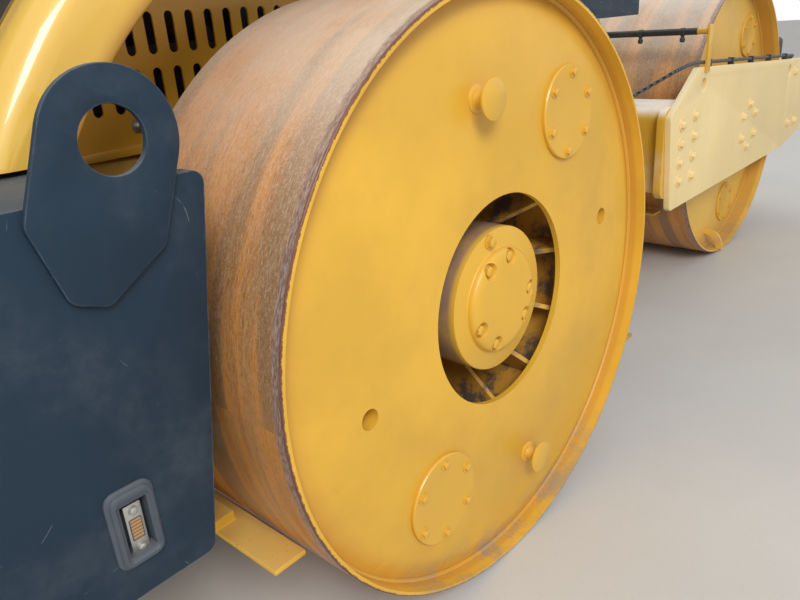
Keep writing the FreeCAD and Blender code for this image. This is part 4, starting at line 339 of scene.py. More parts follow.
def tread_colour(t, drum, outer, rust, grain):
    """Rust in broad bands, grey-brown scale, dry scuffs with painted light (lighter on top, darker below),
    dust and a painted highlight on top, and a scoured edge.
    """
    across, scratches = drum["Across"], drum["Scratches"]
    broad = t.noise(t.join(0.0, t.times(t.plus(across, 0.4), 9.0), t.times(drum["Turn"], 0.35)), 1.0, 3, 0.5)
    tread = t.mix(t.ramp(broad, 0.42, 0.56), tinted(rust, 0.58, 0.76, 1.30), tinted(rust, 1.25, 1.22, 0.95))
    tread = t.layer(tread, t.ramp(drum["Streaks"], 0.42, 0.70), 0.55, tinted(rust, 0.60, 0.52, 0.50))
    tread = t.layer(tread, t.ramp(drum["Blotches"], 0.48, 0.70), 0.45, (0.50, 0.31, 0.17))
    # Painted light: scuffs and grain flecks take a colour that is lighter on the drum's top and darker
    # below.
    up = t.split(drum["Round"])[2]
    top_lit_fleck_colour = t.mix(t.ramp(up, -0.5, 0.8), (0.42, 0.20, 0.06), (0.74, 0.60, 0.46))
    tread = t.layer(tread, t.ramp(scratches, 0.50, 0.66), 0.46, top_lit_fleck_colour)
    tread = t.layer(tread, t.ramp(scratches, 0.48, 0.36), 0.50, (0.20, 0.095, 0.045))
    tread = t.layer(tread, t.ramp(grain, 0.50, 0.66), 0.42, top_lit_fleck_colour)
    # Dust on the tread's top, together with a painted highlight there.
    dust_and_top_highlight = t.times(t.ramp(up, 0.35, 1.0), t.ramp(t.noise(t.place, 5.0, 5, 0.6), 0.25, 0.6, 0.6, 1.0))
    tread = t.layer(tread, dust_and_top_highlight, 0.68, (0.86, 0.77, 0.66))
    ragged = t.times(t.minus(t.noise(t.place, 26.0, 5, 0.7), 0.5), 0.022)
    scoured = t.mix(t.ramp(scratches, 0.40, 0.62), (0.20, 0.115, 0.095), (0.42, 0.35, 0.33))
    return t.layer(tread, t.ramp(t.plus(across, ragged), outer - 0.034, outer - 0.018), 0.80, scoured)


def disc_colour(t, drum, outer, body, cloud, dirt, rim, pocket):
    """Cloudy paint with soot, a shaded corner, a worn foot, and a pocket with painted shade deeper in and
    grime patches.
    """
    radius, across = drum["Radius"], drum["Across"]
    disc = t.mix(t.ramp(cloud, 0.35, 0.68), tinted(body, 0.87), tinted(body, 1.03))
    disc = t.layer(disc, t.ramp(t.noise(t.place, 7.0, 6, 0.7), 0.46, 0.74), dirt * 0.36, (0.42, 0.20, 0.05))
    corner = t.times(t.ramp(radius, 0.70, 0.785), t.ramp(across, outer - 0.020, outer - 0.035))
    disc = t.layer(disc, corner, 0.50, (0.56, 0.27, 0.045))
    low = t.times(t.ramp(t.split(t.place)[2], 0.26, 0.03), t.ramp(radius, 0.66, 0.76))
    worn = t.times(t.times(low, rim), t.ramp(t.noise(t.place, 9.0, 6, 0.75), 0.40, 0.62))
    disc = t.layer(disc, worn, 0.75, (0.34, 0.27, 0.21))
    # Painted shade: darker orange deeper in the pocket; grime patches are laid over it below.
    deep = t.times(t.ramp(across, outer - 0.074, outer - 0.12), pocket)
    disc = t.layer(disc, deep, 0.55, (0.42, 0.17, 0.035))
    grime = t.times(deep, t.ramp(t.noise(t.place, 8.0, 6, 0.7), 0.47, 0.60))
    return t.layer(disc, grime, 0.90, (0.085, 0.080, 0.082))


def drum_material(name, axle, outer, body, rust, dirt, rim, pocket=1.0):
    """A rusty rolled tread and a painted disc, which meet in a ragged edge of dark red."""
    t = start_material(name)
    drum = t.group("drum", Vector=t.place, Axle_X=axle)
    radius, across = drum["Radius"], drum["Across"]
    grain, cloud = t.noise(t.place, 190.0, 3, 0.75), t.noise(t.place, 1.9, 5, 0.6)
    rag = t.times(t.minus(t.noise(t.place, 85.0, 4, 0.8), 0.5), 0.012)
    on_tread = t.ramp(t.plus(radius, t.times(rag, 0.25)), 0.7965, 0.7985)
    red = t.times(t.ramp(t.plus(radius, rag), 0.7945, 0.7965), t.ramp(across, outer - 0.008, outer - 0.002))
    look = t.mix(on_tread, disc_colour(t, drum, outer, body, cloud, dirt, rim, pocket),
                 tread_colour(t, drum, outer, rust, grain))
    dull = t.times(on_tread, t.ramp(drum["Streaks"], 0.3, 0.8, 0.36, 0.58))
    satin = t.times(t.minus(1.0, on_tread), t.ramp(cloud, 0.3, 0.8, 0.36, 0.52))
    relief = t.plus(t.times(grain, 0.5), t.times(drum["Scratches"], 0.5))
    height = t.plus(t.times(relief, on_tread), t.times(t.noise(t.place, 300.0, 2), 0.05))
    t.dress(Base_Color=t.layer(look, red, 0.9 * rim, (0.13, 0.032, 0.018)),
            Roughness=t.plus(dull, satin, clamp=True),
            Metallic=t.times(on_tread, 0.15), Coat_Weight=t.times(on_tread, 0.15), Coat_Roughness=0.32,
            Normal=t.bump(height, 0.35, 0.002))


def paints(body, slate, trim):
    """The painted finishes and the bare casting."""
    clean = dict(runs=(0.05, GRIME), rough=0.36, shade=0.90)
    rim = (0.34, 0.18, 0.06)
    painted("Body paint", body, (0.10, (0.62, 0.52, 0.36)), (0.10, (0.45, 0.22, 0.04)), coat=0.15, **clean)
    # Hub paint: purple-brown grime and painted shade deeper in on the hub's side.
    painted("Hub paint", body, (0.10, (0.62, 0.52, 0.36)), (0.10, (0.62, 0.42, 0.16)),
            deep=(1.096, 1.078, (0.30, 0.185, 0.130)), **clean)
    painted("Hood paint", tinted(body, 1.06, 1.16, 1.9), (0.10, (0.80, 0.70, 0.48)),
            (0.10, (0.45, 0.22, 0.04)), (0.05, GRIME), rough=0.30, shade=0.92, coat=0.55)
    # Frame paint: a near-white layer on the tops, dust together with a painted sky reflection.
    painted("Frame paint", body, (1.0, (0.97, 0.94, 0.87)), (0.30, rim), (0.12, (0.30, 0.16, 0.05)),
            shade=0.90)
    # Plate paint: the body yellow made much paler as a painted sunlit highlight, with dust over it.
    painted("Plate paint with painted sunlight", tinted(body, 1.22, 1.66, 8.0), (0.40, (0.96, 0.90, 0.76)), (0.25, rim),
            (0.14, (0.42, 0.24, 0.08)), (0.10, (0.40, 0.22, 0.08)), rough=0.42, shade=0.92)
    painted("Blade paint", tinted(body, 1.05, 1.05, 0.9), (0.30, (0.62, 0.50, 0.34)),
            (0.35, (0.30, 0.16, 0.06)), (0.35, (0.24, 0.17, 0.10)), (0.30, (0.30, 0.22, 0.14)),
            rough=0.42, shade=0.85)
    painted("Grimy paint", body, (0.65, (0.33, 0.27, 0.21)), (0.6, (0.17, 0.07, 0.035)),
            (0.6, (0.10, 0.06, 0.035)), (0.35, (0.30, 0.16, 0.08)), rough=0.5, shade=0.62)
    # Slate paint: a grey layer on the tops, dust together with a painted sky reflection.
    painted("Slate paint", slate, (0.28, (0.40, 0.42, 0.43)), (0.50, (0.24, 0.28, 0.31)),
            (0.18, (0.040, 0.062, 0.082)), (0.22, (0.36, 0.40, 0.43)), rough=0.50, shade=0.84, peel=0.2,
            scratches=0.35, gloss=0.22)
    painted("Trim paint", trim, (0.45, (0.22, 0.21, 0.20)), (0.3, (0.12, 0.11, 0.10)),
            (0.15, (0.07, 0.06, 0.055)), rough=0.5)
    painted("Casting", (0.035, 0.034, 0.033), (0.55, (0.20, 0.17, 0.14)), (0.2, (0.14, 0.12, 0.10)),
            (0.2, GRIME), rough=0.62, peel=0.6)


def plain_materials():
    """Bare metals, rubber, plastic and glass under a film of dust."""
    for name, colour, rough, metal in (("Zinc", (0.52, 0.51, 0.47), 0.34, 0.9),
                                       ("Chrome", (0.78, 0.78, 0.79), 0.10, 1.0),
                                       ("Machined steel", (0.46, 0.45, 0.44), 0.30, 1.0)):
        t = start_material(name)
        film = t.group("dust", Vector=t.place, Amount=0.5, Scale=12.0)[0]
        t.dress(Base_Color=t.mix(film, colour, (0.25, 0.21, 0.17)),
                Roughness=t.plus(rough, t.times(t.noise(t.place, 60.0), 0.25)),
                Metallic=t.minus(metal, t.times(film, 0.5), clamp=True))
    for name, colour, rough, grain in (("Black rubber", (0.018, 0.018, 0.019), 0.6, 160.0),
                                       ("Cab plastic", (0.030, 0.031, 0.034), 0.48, 700.0),
                                       ("Lamp frame", (0.060, 0.075, 0.095), 0.55, 320.0)):
        t = start_material(name)
        film = t.group("dust", Vector=t.place, Amount=0.5, Scale=6.0)[0]
        t.dress(Base_Color=t.mix(film, colour, (0.17, 0.165, 0.155)),
                Roughness=t.plus(rough, t.times(film, 0.3)),
                Normal=t.bump(t.noise(t.place, grain, 2), 0.35, 0.0006))
    for name, colour, rough, clear in (("Window glass", (0.80, 0.87, 0.86), 0.02, 1.0),
                                       ("Lamp glass", (0.93, 0.94, 0.95), 0.04, 0.9),
                                       ("Amber lens", (0.95, 0.36, 0.02), 0.12, 0.55),
                                       ("Red lens", (0.55, 0.012, 0.010), 0.14, 0.5)):
        t = start_material(name)
        film = t.group("dust", Vector=t.place, Amount=0.35, Scale=2.5)[0]
        t.dress(Base_Color=t.mix(film, colour, (0.55, 0.53, 0.48)),
                Roughness=t.plus(rough, t.times(film, 0.35)),
                Transmission_Weight=clear, IOR=1.45)
    ribbed_materials()


def ribbed_materials():
    """Ribbed lens and sleeve, mirror, and woven cloth."""
    t = start_material("Amber window")
    ribs = t.math("SINE", t.times(t.split(t.place)[2], 900.0))
    t.dress(Base_Color=t.mix(t.ramp(ribs, -1.0, 1.0), (0.24, 0.11, 0.04), (0.46, 0.26, 0.10)),
            Roughness=0.16,
            Coat_Weight=0.6, Normal=t.bump(ribs, 0.25, 0.001))
    t = start_material("Corrugated sleeve")
    # Black rubber with a painted highlight on each rib's crest: the light stripes follow the ribs.
    ribs = t.math("SINE", t.times(t.split(t.place)[0], 900.0))
    t.dress(Base_Color=t.mix(t.ramp(ribs, -0.6, 1.0), (0.022, 0.022, 0.023), (0.16, 0.16, 0.155)),
            Roughness=0.5,
            Normal=t.bump(ribs, 0.6, 0.002))
    t = start_material("Mirror")
    t.dress(Base_Color=t.mix(t.ramp(t.noise(t.place, 30.0), 0.5, 0.8), (0.86, 0.87, 0.88), (0.7, 0.7, 0.68)),
            Metallic=1.0, Roughness=t.times(t.noise(t.place, 14.0), 0.08))
    t = start_material("Seat cloth")
    x, y, z = t.split(t.place)
    weave = t.times(t.math("SINE", t.times(t.plus(x, z), 1500.0)), t.math("SINE", t.times(y, 1500.0)))
    t.dress(Base_Color=t.mix(t.ramp(weave, -0.7, 0.9), (0.020, 0.021, 0.024), (0.075, 0.077, 0.085)),
            Roughness=0.85, Sheen_Weight=0.35, Normal=t.bump(weave, 0.4, 0.0012))


# Meshes

SLOTS = {
    "yellow_paint": ("Body paint", "Frame paint", "Grimy paint", "Hub paint", "Hood paint", "Plate paint with painted sunlight",
                     "Blade paint"),
    "slate_paint": ("Slate paint",), "dark_paint": ("Trim paint",), "cast_parts": ("Casting",),
    "drum_steel": ("Rear drum steel", "Front drum steel"), "machined_steel": ("Machined steel", "Zinc"),
    "rod_chrome": ("Chrome", "Mirror"), "black_rubber": ("Black rubber", "Lamp frame", "Corrugated sleeve"),
    "cab_plastic": ("Cab plastic",), "window_glass": ("Window glass",), "lamp_glass": ("Lamp glass",),
    "amber_glass": ("Amber lens", "Amber window"), "tail_lamp_glass": ("Red lens",),
    "seat_fabric": ("Seat cloth",)}
BODY_OF = {node: body for body, nodes in frame["record"]["behaviour"]["bodies"].items() for node in nodes}
SMOOTH_ANGLE = 36


def placed(name, data):
    """A new object in the scene."""
    made = bpy.data.objects.new(name, data)
    bpy.context.scene.collection.objects.link(made)
    return made


def publish(name, mesh, body, material, replaces=()):
    """Puts a mesh in the scene as a piece of the roller."""
    made = placed(name, mesh)
    mesh.materials.append(MATERIALS[material])
    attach(made, body)
    if replaces:
        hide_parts(*replaces)
    return made


def plain(made):
    """Turns the evaluated object into a plain mesh without modifiers."""
    bpy.context.view_layer.update()
    mesh = bpy.data.meshes.new_from_object(made.evaluated_get(bpy.context.evaluated_depsgraph_get()))
    made.modifiers.clear()
    old, made.data = made.data, mesh
    bpy.data.meshes.remove(old)
    return made


def outward(mesh):
    """Turns the faces' normals out."""
    work = bmesh.new()
    work.from_mesh(mesh)
    bmesh.ops.recalc_face_normals(work, faces=work.faces)
    work.to_mesh(mesh)
    work.free()


def smooth(mesh, angle=SMOOTH_ANGLE):
    mesh.polygons.foreach_set("use_smooth", [True] * len(mesh.polygons))
    mesh.set_sharp_from_angle(angle=radians(angle))


def rounded(made, radius, segments=2, angle=32):
    """Rounds the edges and keeps the flats flat."""
    bevel = made.modifiers.new("Rounding", "BEVEL")
    bevel.width, bevel.segments = radius, segments
    bevel.limit_method, bevel.angle_limit = "ANGLE", radians(angle)
    bevel.harden_normals, bevel.use_clamp_overlap = False, True
    smooth(plain(made).data)
    return made


class Form:
    """Closed shapes gathered in one mesh."""

    def __init__(self):
        self.points, self.faces = [], []

    def add(self, points, faces):
        start = len(self.points)
        self.points += [tuple(p) for p in points]
        self.faces += [[start + i for i in face] for face in faces]

    def box(self, low, high):
        (a, b, c), (d, e, f) = map(min, low, high), map(max, low, high)
        self.add([(a, b, c), (d, b, c), (d, e, c), (a, e, c), (a, b, f), (d, b, f), (d, e, f), (a, e, f)],
                 [(0, 3, 2, 1), (4, 5, 6, 7), (0, 1, 5, 4), (1, 2, 6, 5), (2, 3, 7, 6), (3, 0, 4, 7)])

    def skin(self, rings, closed=False):
        """Joins rings of equal count and caps the ends, or joins them to each other."""
        count, last = len(rings[0]), len(rings) - 1
        pairs = [(k, k + 1) for k in range(last)] + ([(last, 0)] if closed else [])
        faces = [(a * count + k, a * count + (k + 1) % count, b * count + (k + 1) % count, b * count + k)
                 for a, b in pairs for k in range(count)]
        if not closed:
            faces += [tuple(range(count))[::-1], tuple(last * count + k for k in range(count))]
        self.add([p for ring in rings for p in ring], faces)

    def prism(self, outline, start, end, axis=1):
        """Sweeps an outline of the two other axes' places along an axis."""
        self.skin([[(*p[:axis], along, *p[axis:]) for p in outline] for along in (start, end)])

    def lathe(self, profile, centre, axis=(0, 1, 0), count=48, closed=False):
        """Turns a profile of radius and distance about an axis through a centre."""
        along, centre = Vector(axis).normalized(), Vector(centre)
        side = Vector(AHEAD if abs(along.x) < 0.9 else UP)
        side = (side - along * side.dot(along)).normalized()
        other = along.cross(side)
        self.skin([[centre + along * d + (side * cos(a) + other * sin(a)) * r for a in turns(count)]
                   for r, d in profile], closed)

    def tube(self, path, radius, count=12, closed=False):
        """A round bar along points; its rings lean with the bends."""
        path = [Vector(p) for p in path]
        rings, side = [], None
        for k, point in enumerate(path):
            back = path[k - 1] if closed or k else point
            ahead = path[(k + 1) % len(path)] if closed or k < len(path) - 1 else point
            along = ((point - back).normalized() + (ahead - point).normalized()).normalized()
            side = side or along.orthogonal().normalized()
            side = (side - along * side.dot(along)).normalized()
            other = along.cross(side)
            rings.append([point + (side * cos(a) + other * sin(a)) * radius for a in turns(count)])
        self.skin(rings, closed)

    def frames(self, centre, rows, axis=0):
        """Skins round-cornered rectangles: distance along the axis, width, height and corner radius."""
        self.skin([[(*p[:axis], along, *p[axis:]) for p in rounded_outline(width, height, radius, centre)]
                   for along, width, height, radius in rows])

    def make(self, name, body, material, bevel=0.0, replaces=()):
        mesh = bpy.data.meshes.new(name)
        mesh.from_pydata(self.points, [], self.faces)
        outward(mesh)
        made = publish(name, mesh, body, material, replaces)
        if bevel:
            return rounded(made, bevel)
        smooth(mesh)
        return made


def turns(count):
    return [2 * pi * k / count for k in range(count)]


def rounded_outline(width, height, radius, centre=(0, 0), steps=5):
    """A rectangle with round corners."""
    points = []
    for quarter, (sx, sy) in enumerate(((1, 1), (-1, 1), (-1, -1), (1, -1))):
        for k in range(steps + 1):
            a = pi / 2 * (quarter + k / steps)
            points.append((centre[0] + sx * (width / 2 - radius) + radius * cos(a),
                           centre[1] + sy * (height / 2 - radius) + radius * sin(a)))
    return points


def bent(points, radius, steps=6):
    """A path whose corners are rounded."""
    points = [Vector(p) for p in points]
    path = [points[0]]
    for a, b, c in zip(points, points[1:], points[2:]):
        start, end = b + (a - b).normalized() * radius, b + (c - b).normalized() * radius
        path += [start.lerp(b, t).lerp(b.lerp(end, t), t) for t in (k / steps for k in range(steps + 1))]
    return path + [points[-1]]


def carved(made, form):
    """Cuts the shapes of a form out of an object."""
    mesh = bpy.data.meshes.new("cutter")
    mesh.from_pydata(form.points, [], form.faces)
    outward(mesh)
    tool = placed("cutter", mesh)
    modifier = made.modifiers.new("Carve", "BOOLEAN")
    modifier.operation, modifier.solver, modifier.object = "DIFFERENCE", "EXACT", tool
    plain(made)
    bpy.data.objects.remove(tool)
    bpy.data.meshes.remove(mesh)
    return made


def merged(node):
    """A copy of a CAD node's mesh with its doubles merged and its flats joined."""
    work = bmesh.new()
    work.from_mesh(frame["nodes"][node].data)
    bmesh.ops.remove_doubles(work, verts=work.verts, dist=2e-5)
    bmesh.ops.dissolve_limit(work, angle_limit=radians(0.6), verts=work.verts, edges=work.edges)
    clean = bpy.data.meshes.new(node)
    work.verts.index_update()
    clean.from_pydata([v.co[:] for v in work.verts], [], [[v.index for v in f.verts] for f in work.faces])
    work.free()
    return clean


def soften(node, name, material, radius, segments=2, angle=32):
    """A copy of a CAD node with rounded edges, which stands for it."""
    made = publish(name, merged(node), BODY_OF[node], material, (node,))
    if radius:
        return rounded(made, radius, segments, angle)
    smooth(made.data)
    return made


def finish(node, material):
    """A CAD node that stays, with a better material."""
    for slot in frame["nodes"][node].material_slots:
        slot.material = MATERIALS[material]


def gasket(name, node, body, radius=0.009):
    """Rubber beads round the outline of a node's panes, on both faces."""
    pane, form = merged(node), Form()
    area = max(face.area for face in pane.polygons)
    for face in pane.polygons:
        if face.area > 0.4 * area:
            form.tube([pane.vertices[i].co.copy() for i in face.vertices], radius, 8, closed=True)
    bpy.data.meshes.remove(pane)
    form.make(name, body, "Black rubber")


# Trees that repeat small parts

def repeating_tree(name, ins):
    return new_tree(name, (("Geometry", GEOMETRY, None), *ins, ("Material", MATERIAL, None)),
                    (("Geometry", GEOMETRY),), "GeometryNodeTree")


def instances(t, shape, rotation, **scale):
    """Places a shape on each point, makes the copies real and gives them their material."""
    on_points = t.add("GeometryNodeInstanceOnPoints", {"Points": t.source["Geometry"], "Instance": shape,
                                                       "Rotation": rotation, **scale}).outputs[0]
    real = t.add("GeometryNodeRealizeInstances", {"Geometry": on_points}).outputs[0]
    t.put(t.sink["Geometry"], t.add("GeometryNodeSetMaterial", {
        "Geometry": real, "Material": t.source["Material"]}).outputs[0])
    return t.tree


def facing_instances(t, shape):
    """Turns each copy to its point's own direction and spins it by a seeded angle."""
    facing = t.add("GeometryNodeInputNamedAttribute", {"Name": "facing"},
                   data_type="FLOAT_VECTOR").outputs[0]
    turned = t.add("FunctionNodeAlignRotationToVector", {"Vector": facing}, axis="Z").outputs[0]
    spin = t.add("FunctionNodeRandomValue", {2: 0.0, 3: 6.283, "Seed": t.source["Seed"]}, data_type="FLOAT")
    own = t.add("FunctionNodeAxisAngleToRotation", {"Axis": UP, "Angle": spin.outputs[1]}).outputs[0]
    return instances(t, shape, t.add("FunctionNodeRotateRotation", {"Rotation": turned, "Rotate By": own},
                                     rotation_space="LOCAL").outputs[0])


def bolt_tree():
    """Hex bolts with washers."""
    t = repeating_tree("Hex bolts", (("Radius", FLOAT, 0.01), ("Washer", FLOAT, 1.75),
                                     ("Height", FLOAT, 0.7),
                                     ("Seed", WHOLE, 5)))
    radius = t.source["Radius"]
    thick, tall = t.times(radius, 0.26), t.times(radius, t.source["Height"])
    shape = t.add("GeometryNodeJoinGeometry")
    for kind, ins, height in (
            ("Cylinder", {"Vertices": 18, "Radius": t.times(radius, t.source["Washer"]), "Depth": thick},
             t.times(thick, 0.4)),
            ("Cylinder", {"Vertices": 6, "Radius": radius, "Depth": tall},
             t.plus(thick, t.times(tall, 0.45))),
            ("Cone", {"Vertices": 6, "Radius Top": t.times(radius, 0.74),
                      "Radius Bottom": t.times(radius, 0.999),
                      "Depth": t.times(radius, 0.16)}, t.plus(thick, t.times(tall, 0.949)))):
        part = t.add(f"GeometryNodeMesh{kind}", ins).outputs[0]
        part = t.add("GeometryNodeTransform", {"Geometry": part, "Translation": t.join(0.0, 0.0, height)})
        t.tree.links.new(part.outputs[0], shape.inputs[0])
    return facing_instances(t, shape.outputs[0])


def stud_tree():
    """Low round studs for treads and lids."""
    t = repeating_tree("Round studs", (("Radius", FLOAT, 0.008), ("Height", FLOAT, 0.004),
                                       ("Seed", WHOLE, 3)))
    radius = t.source["Radius"]
    return facing_instances(t, t.add("GeometryNodeMeshCone", {
        "Vertices": 10, "Radius Top": t.times(radius, 0.55), "Radius Bottom": radius,
        "Depth": t.source["Height"]}).outputs[0])


def slat_tree():
    """Sloping slats: one on each point, as long as the point's own span."""
    t = repeating_tree("Louvre slats", (("Depth", FLOAT, 0.014), ("Thickness", FLOAT, 0.003),
                                        ("Lean", FLOAT, 0.9)))
    bar = t.add("GeometryNodeMeshCube", {"Size": t.join(1.0, t.source["Depth"],
                                                        t.source["Thickness"])}).outputs[0]
    span, side = (t.add("GeometryNodeInputNamedAttribute", {"Name": label}, data_type="FLOAT").outputs[0]
                  for label in ("span", "side"))
    lean = t.times(side, t.source["Lean"])
    turned = t.add("FunctionNodeAxisAngleToRotation", {"Axis": AHEAD, "Angle": lean}).outputs[0]
    return instances(t, bar, turned, Scale=t.join(span, 1.0, 1.0))


TREES = {}


def repeat(build, name, body, points, attributes, material, **values):
    """Runs a tree on points that carry attributes and publishes the plain mesh."""
    tree = TREES[build] = TREES.get(build) or build()
    mesh = bpy.data.meshes.new(name)
    mesh.from_pydata([tuple(p) for p in points], [], [])
    for label, numbers in attributes.items():
        numbers = np.array(numbers, dtype=float)
        vectors = numbers.ndim > 1
        layer = mesh.attributes.new(label, "FLOAT_VECTOR" if vectors else "FLOAT", "POINT")
        layer.data.foreach_set("vector" if vectors else "value", numbers.ravel())
    made = placed(name, mesh)
    modifier = made.modifiers.new("Build", "NODES")
    modifier.node_group = tree
    values["Material"] = MATERIALS[material]
    for item in tree.interface.items_tree:
        if item.in_out == "INPUT" and item.name in values:
            modifier[item.identifier] = values[item.name]
    plain(made)
    if not made.data.polygons:
        raise RuntimeError(f"{name} came out empty")
    if MATERIALS[material].name not in [m.name for m in made.data.materials if m]:
        made.data.materials.append(MATERIALS[material])
    smooth(made.data)
    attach(made, body)


def faced(build, name, body, spots, material, **values):
    """Small parts at places that each have a direction."""
    places, facings = zip(*spots)
    repeat(build, name, body, places, {"facing": facings}, material, **values)


def bolts(name, body, spots, radius, material="Zinc", **values):
    faced(bolt_tree, name, body, spots, material, Radius=radius, **values)


def ring(centre, radius, angles, facing=None):
    """Places round a centre in the upright lengthwise plane, each with its direction."""
    x, y, z = centre
    return [((x + radius * cos(radians(a)), y, z + radius * sin(radians(a))), facing) for a in angles]


def outline_to(way, *profile):
    """A turned outline of radius and distance from the machine's middle, on one side of it."""
    return [(r, way * d) for r, d in profile]


def bead(form, centre, way, out, size):
    """A round weld bead in a drum's corner."""
    form.lathe([(BEAD_RADIUS + size * cos(a), way * out + size * sin(a)) for a in turns(8)], centre,
               count=120,
               closed=True)


# Pieces

def build_materials():
    for name, build in (("dust", dust_group), ("specks", speck_group), ("runs", streak_group),
                        ("edges", edge_group), ("drum", drum_group)):
        GROUPS[name] = build()
    body, rust, dirt = tuple(paint().body), tuple(paint().rust), sizes().disc_dirt
    paints(body, tuple(paint().ballast), tuple(paint().trim))
    drum_material("Rear drum steel", REAR_AXLE, REAR_OUTER, body, rust, dirt, 1.0)
    drum_material("Front drum steel", FRONT_AXLE, FRONT_OUTER, tinted(body, 1.08, 1.18, 2.2),
                  tinted(rust, 0.92, 1.0, 1.2), dirt * 0.6, 0.6, 0.0)
    plain_materials()
    for node, made in frame["nodes"].items():
        slot = made.data.materials[0].name.split(".")[0]
        finish(node, SLOTS.get(slot, SLOTS["yellow_paint"])[0])
    finish("front_drum", "Front drum steel")
    finish("lifting_lugs", "Slate paint")


def build_rear_drums():
    for side, way in SIDES:
        soften(f"rear_drum_{side}", f"rear_drum_shell_{side}", "Rear drum steel", 0)
        form = Form()
        bead(form, REAR_CENTRE, way, 1.1045, 0.0075)
        bead(form, REAR_CENTRE, way, 0.6135, 0.006)
        form.make(f"drum_weld_beads_{side}", f"rear_drum_{side}", "Rear drum steel")


def build_hubs():
    pockets = (-1, 78, 123, 203, 248, 322)
    pocket_ring, oil_plug_ring, web_ring = 0.1215, 0.179, 0.240
    for side, way in SIDES:
        body, hub, cap, tools = f"rear_drum_{side}", Form(), Form(), Form()
        hub.lathe(outline_to(way, (0.10, 0.832), (0.192, 0.832), (0.196, 0.836), (0.196, 0.985),
                             (0.2, 0.990),
                             (0.2, 1.097), (0.1985, 1.1015), (0.195, HUB_FACE), (0.02, HUB_FACE)),
                  REAR_CENTRE, count=120)
        hub.make(f"planetary_hub_{side}", body, "Hub paint", replaces=(f"rear_hub_{side}",))
        cap.lathe(outline_to(way, (0.148, 1.100), (0.148, 1.104), (0.1455, 1.106), (0.1455, 1.111),
                             (0.1435, 1.1175), (0.139, 1.1225), (0.131, 1.1262), (0.118, 1.1282),
                             (0.090, 1.129),
                             (0.002, 1.129)), REAR_CENTRE, count=120)
        for spot, _ in ring(REAR_CENTRE, pocket_ring, pockets):
            tools.lathe(outline_to(way, (0.002, POCKET_FLOOR), (0.019, POCKET_FLOOR), (0.0215, 1.1105),
                                   (0.0245, 1.135), (0.002, 1.135)), spot, count=32)
        made = carved(cap.make(f"hub_cap_{side}", body, "Hub paint"), tools)
        smooth(rounded(made, 0.0015, 2, 40).data, 40)
        face = (0, way, 0)
        spots = ring((REAR_AXLE, way * POCKET_FLOOR, DRUM_RADIUS), pocket_ring, pockets, face)
        spots += ring((REAR_AXLE, way * HUB_FACE, DRUM_RADIUS), oil_plug_ring, (103.5,), face)
        bolts(f"hub_bolts_{side}", body, spots, sizes().hub_bolt, "Hub paint", Washer=1.3, Height=0.8)
        spots = ring((REAR_AXLE, way * 0.833, DRUM_RADIUS), web_ring, range(8, 368, 33), face)
        bolts(f"web_bolts_{side}", body, spots, 0.020, "Casting", Height=0.9)


def build_drum_fittings():
    fitting_ring, cover_face = 0.550, 1.136
    for side, way in SIDES:
        body, covers, plugs, spots = f"rear_drum_{side}", Form(), Form(), []
        for half in (0, 180):
            (cover, _), (plug, _) = ring(REAR_CENTRE, fitting_ring, (55.8 + half, 101 + half))
            covers.lathe(outline_to(way, (0.124, 1.120), (0.1265, 1.1245), (0.127, 1.1325),
                                    (0.1245, cover_face),
                                    (0.090, cover_face), (0.086, 1.1355), (0.030, 1.1355), (0.002, 1.1355)),
                         cover, count=72)
            spots += ring((cover[0], way * cover_face, cover[2]), 0.105,
                          [84 + half / 50 + 60 * k for k in range(6)], (0, way, 0))
            plugs.lathe(outline_to(way, (0.034, 1.118), (0.033, 1.1265), (0.0285, 1.1305), (0.022, 1.1325),
                                   (0.0200, 1.136), (0.0200, 1.168), (0.0455, 1.168), (0.0480, 1.1695),
                                   (0.0484, 1.1715), (0.0478, 1.1745), (0.0455, 1.1758), (0.002, 1.1758)),
                        plug, count=56)
        covers.make(f"drum_covers_{side}", body, "Body paint", replaces=(f"drum_fittings_{side}",))
        plugs.make(f"filler_plugs_{side}", body, "Body paint")
        bolts(f"cover_bolts_{side}", body, spots, sizes().cover_bolt, "Body paint", Washer=1.5)


def build_tail():
    soften("tail_box", "ballast_box", "Slate paint", 0.006, 3)
    soften("lifting_lugs", "lifting_eyes", "Slate paint", 0.0025)
    seal = Form()
    for low_y, end_x, high_y in ((-0.645, -2.873, 0.645), (-0.645, -2.335, -0.633), (0.633, -2.335, 0.645)):
        seal.box((-2.885, low_y, 1.3075), (end_x, high_y, 1.3205))
    seal.make("hood_seal", "rear_frame", "Black rubber", 0.002)
    build_markers()
    build_tail_lamps()


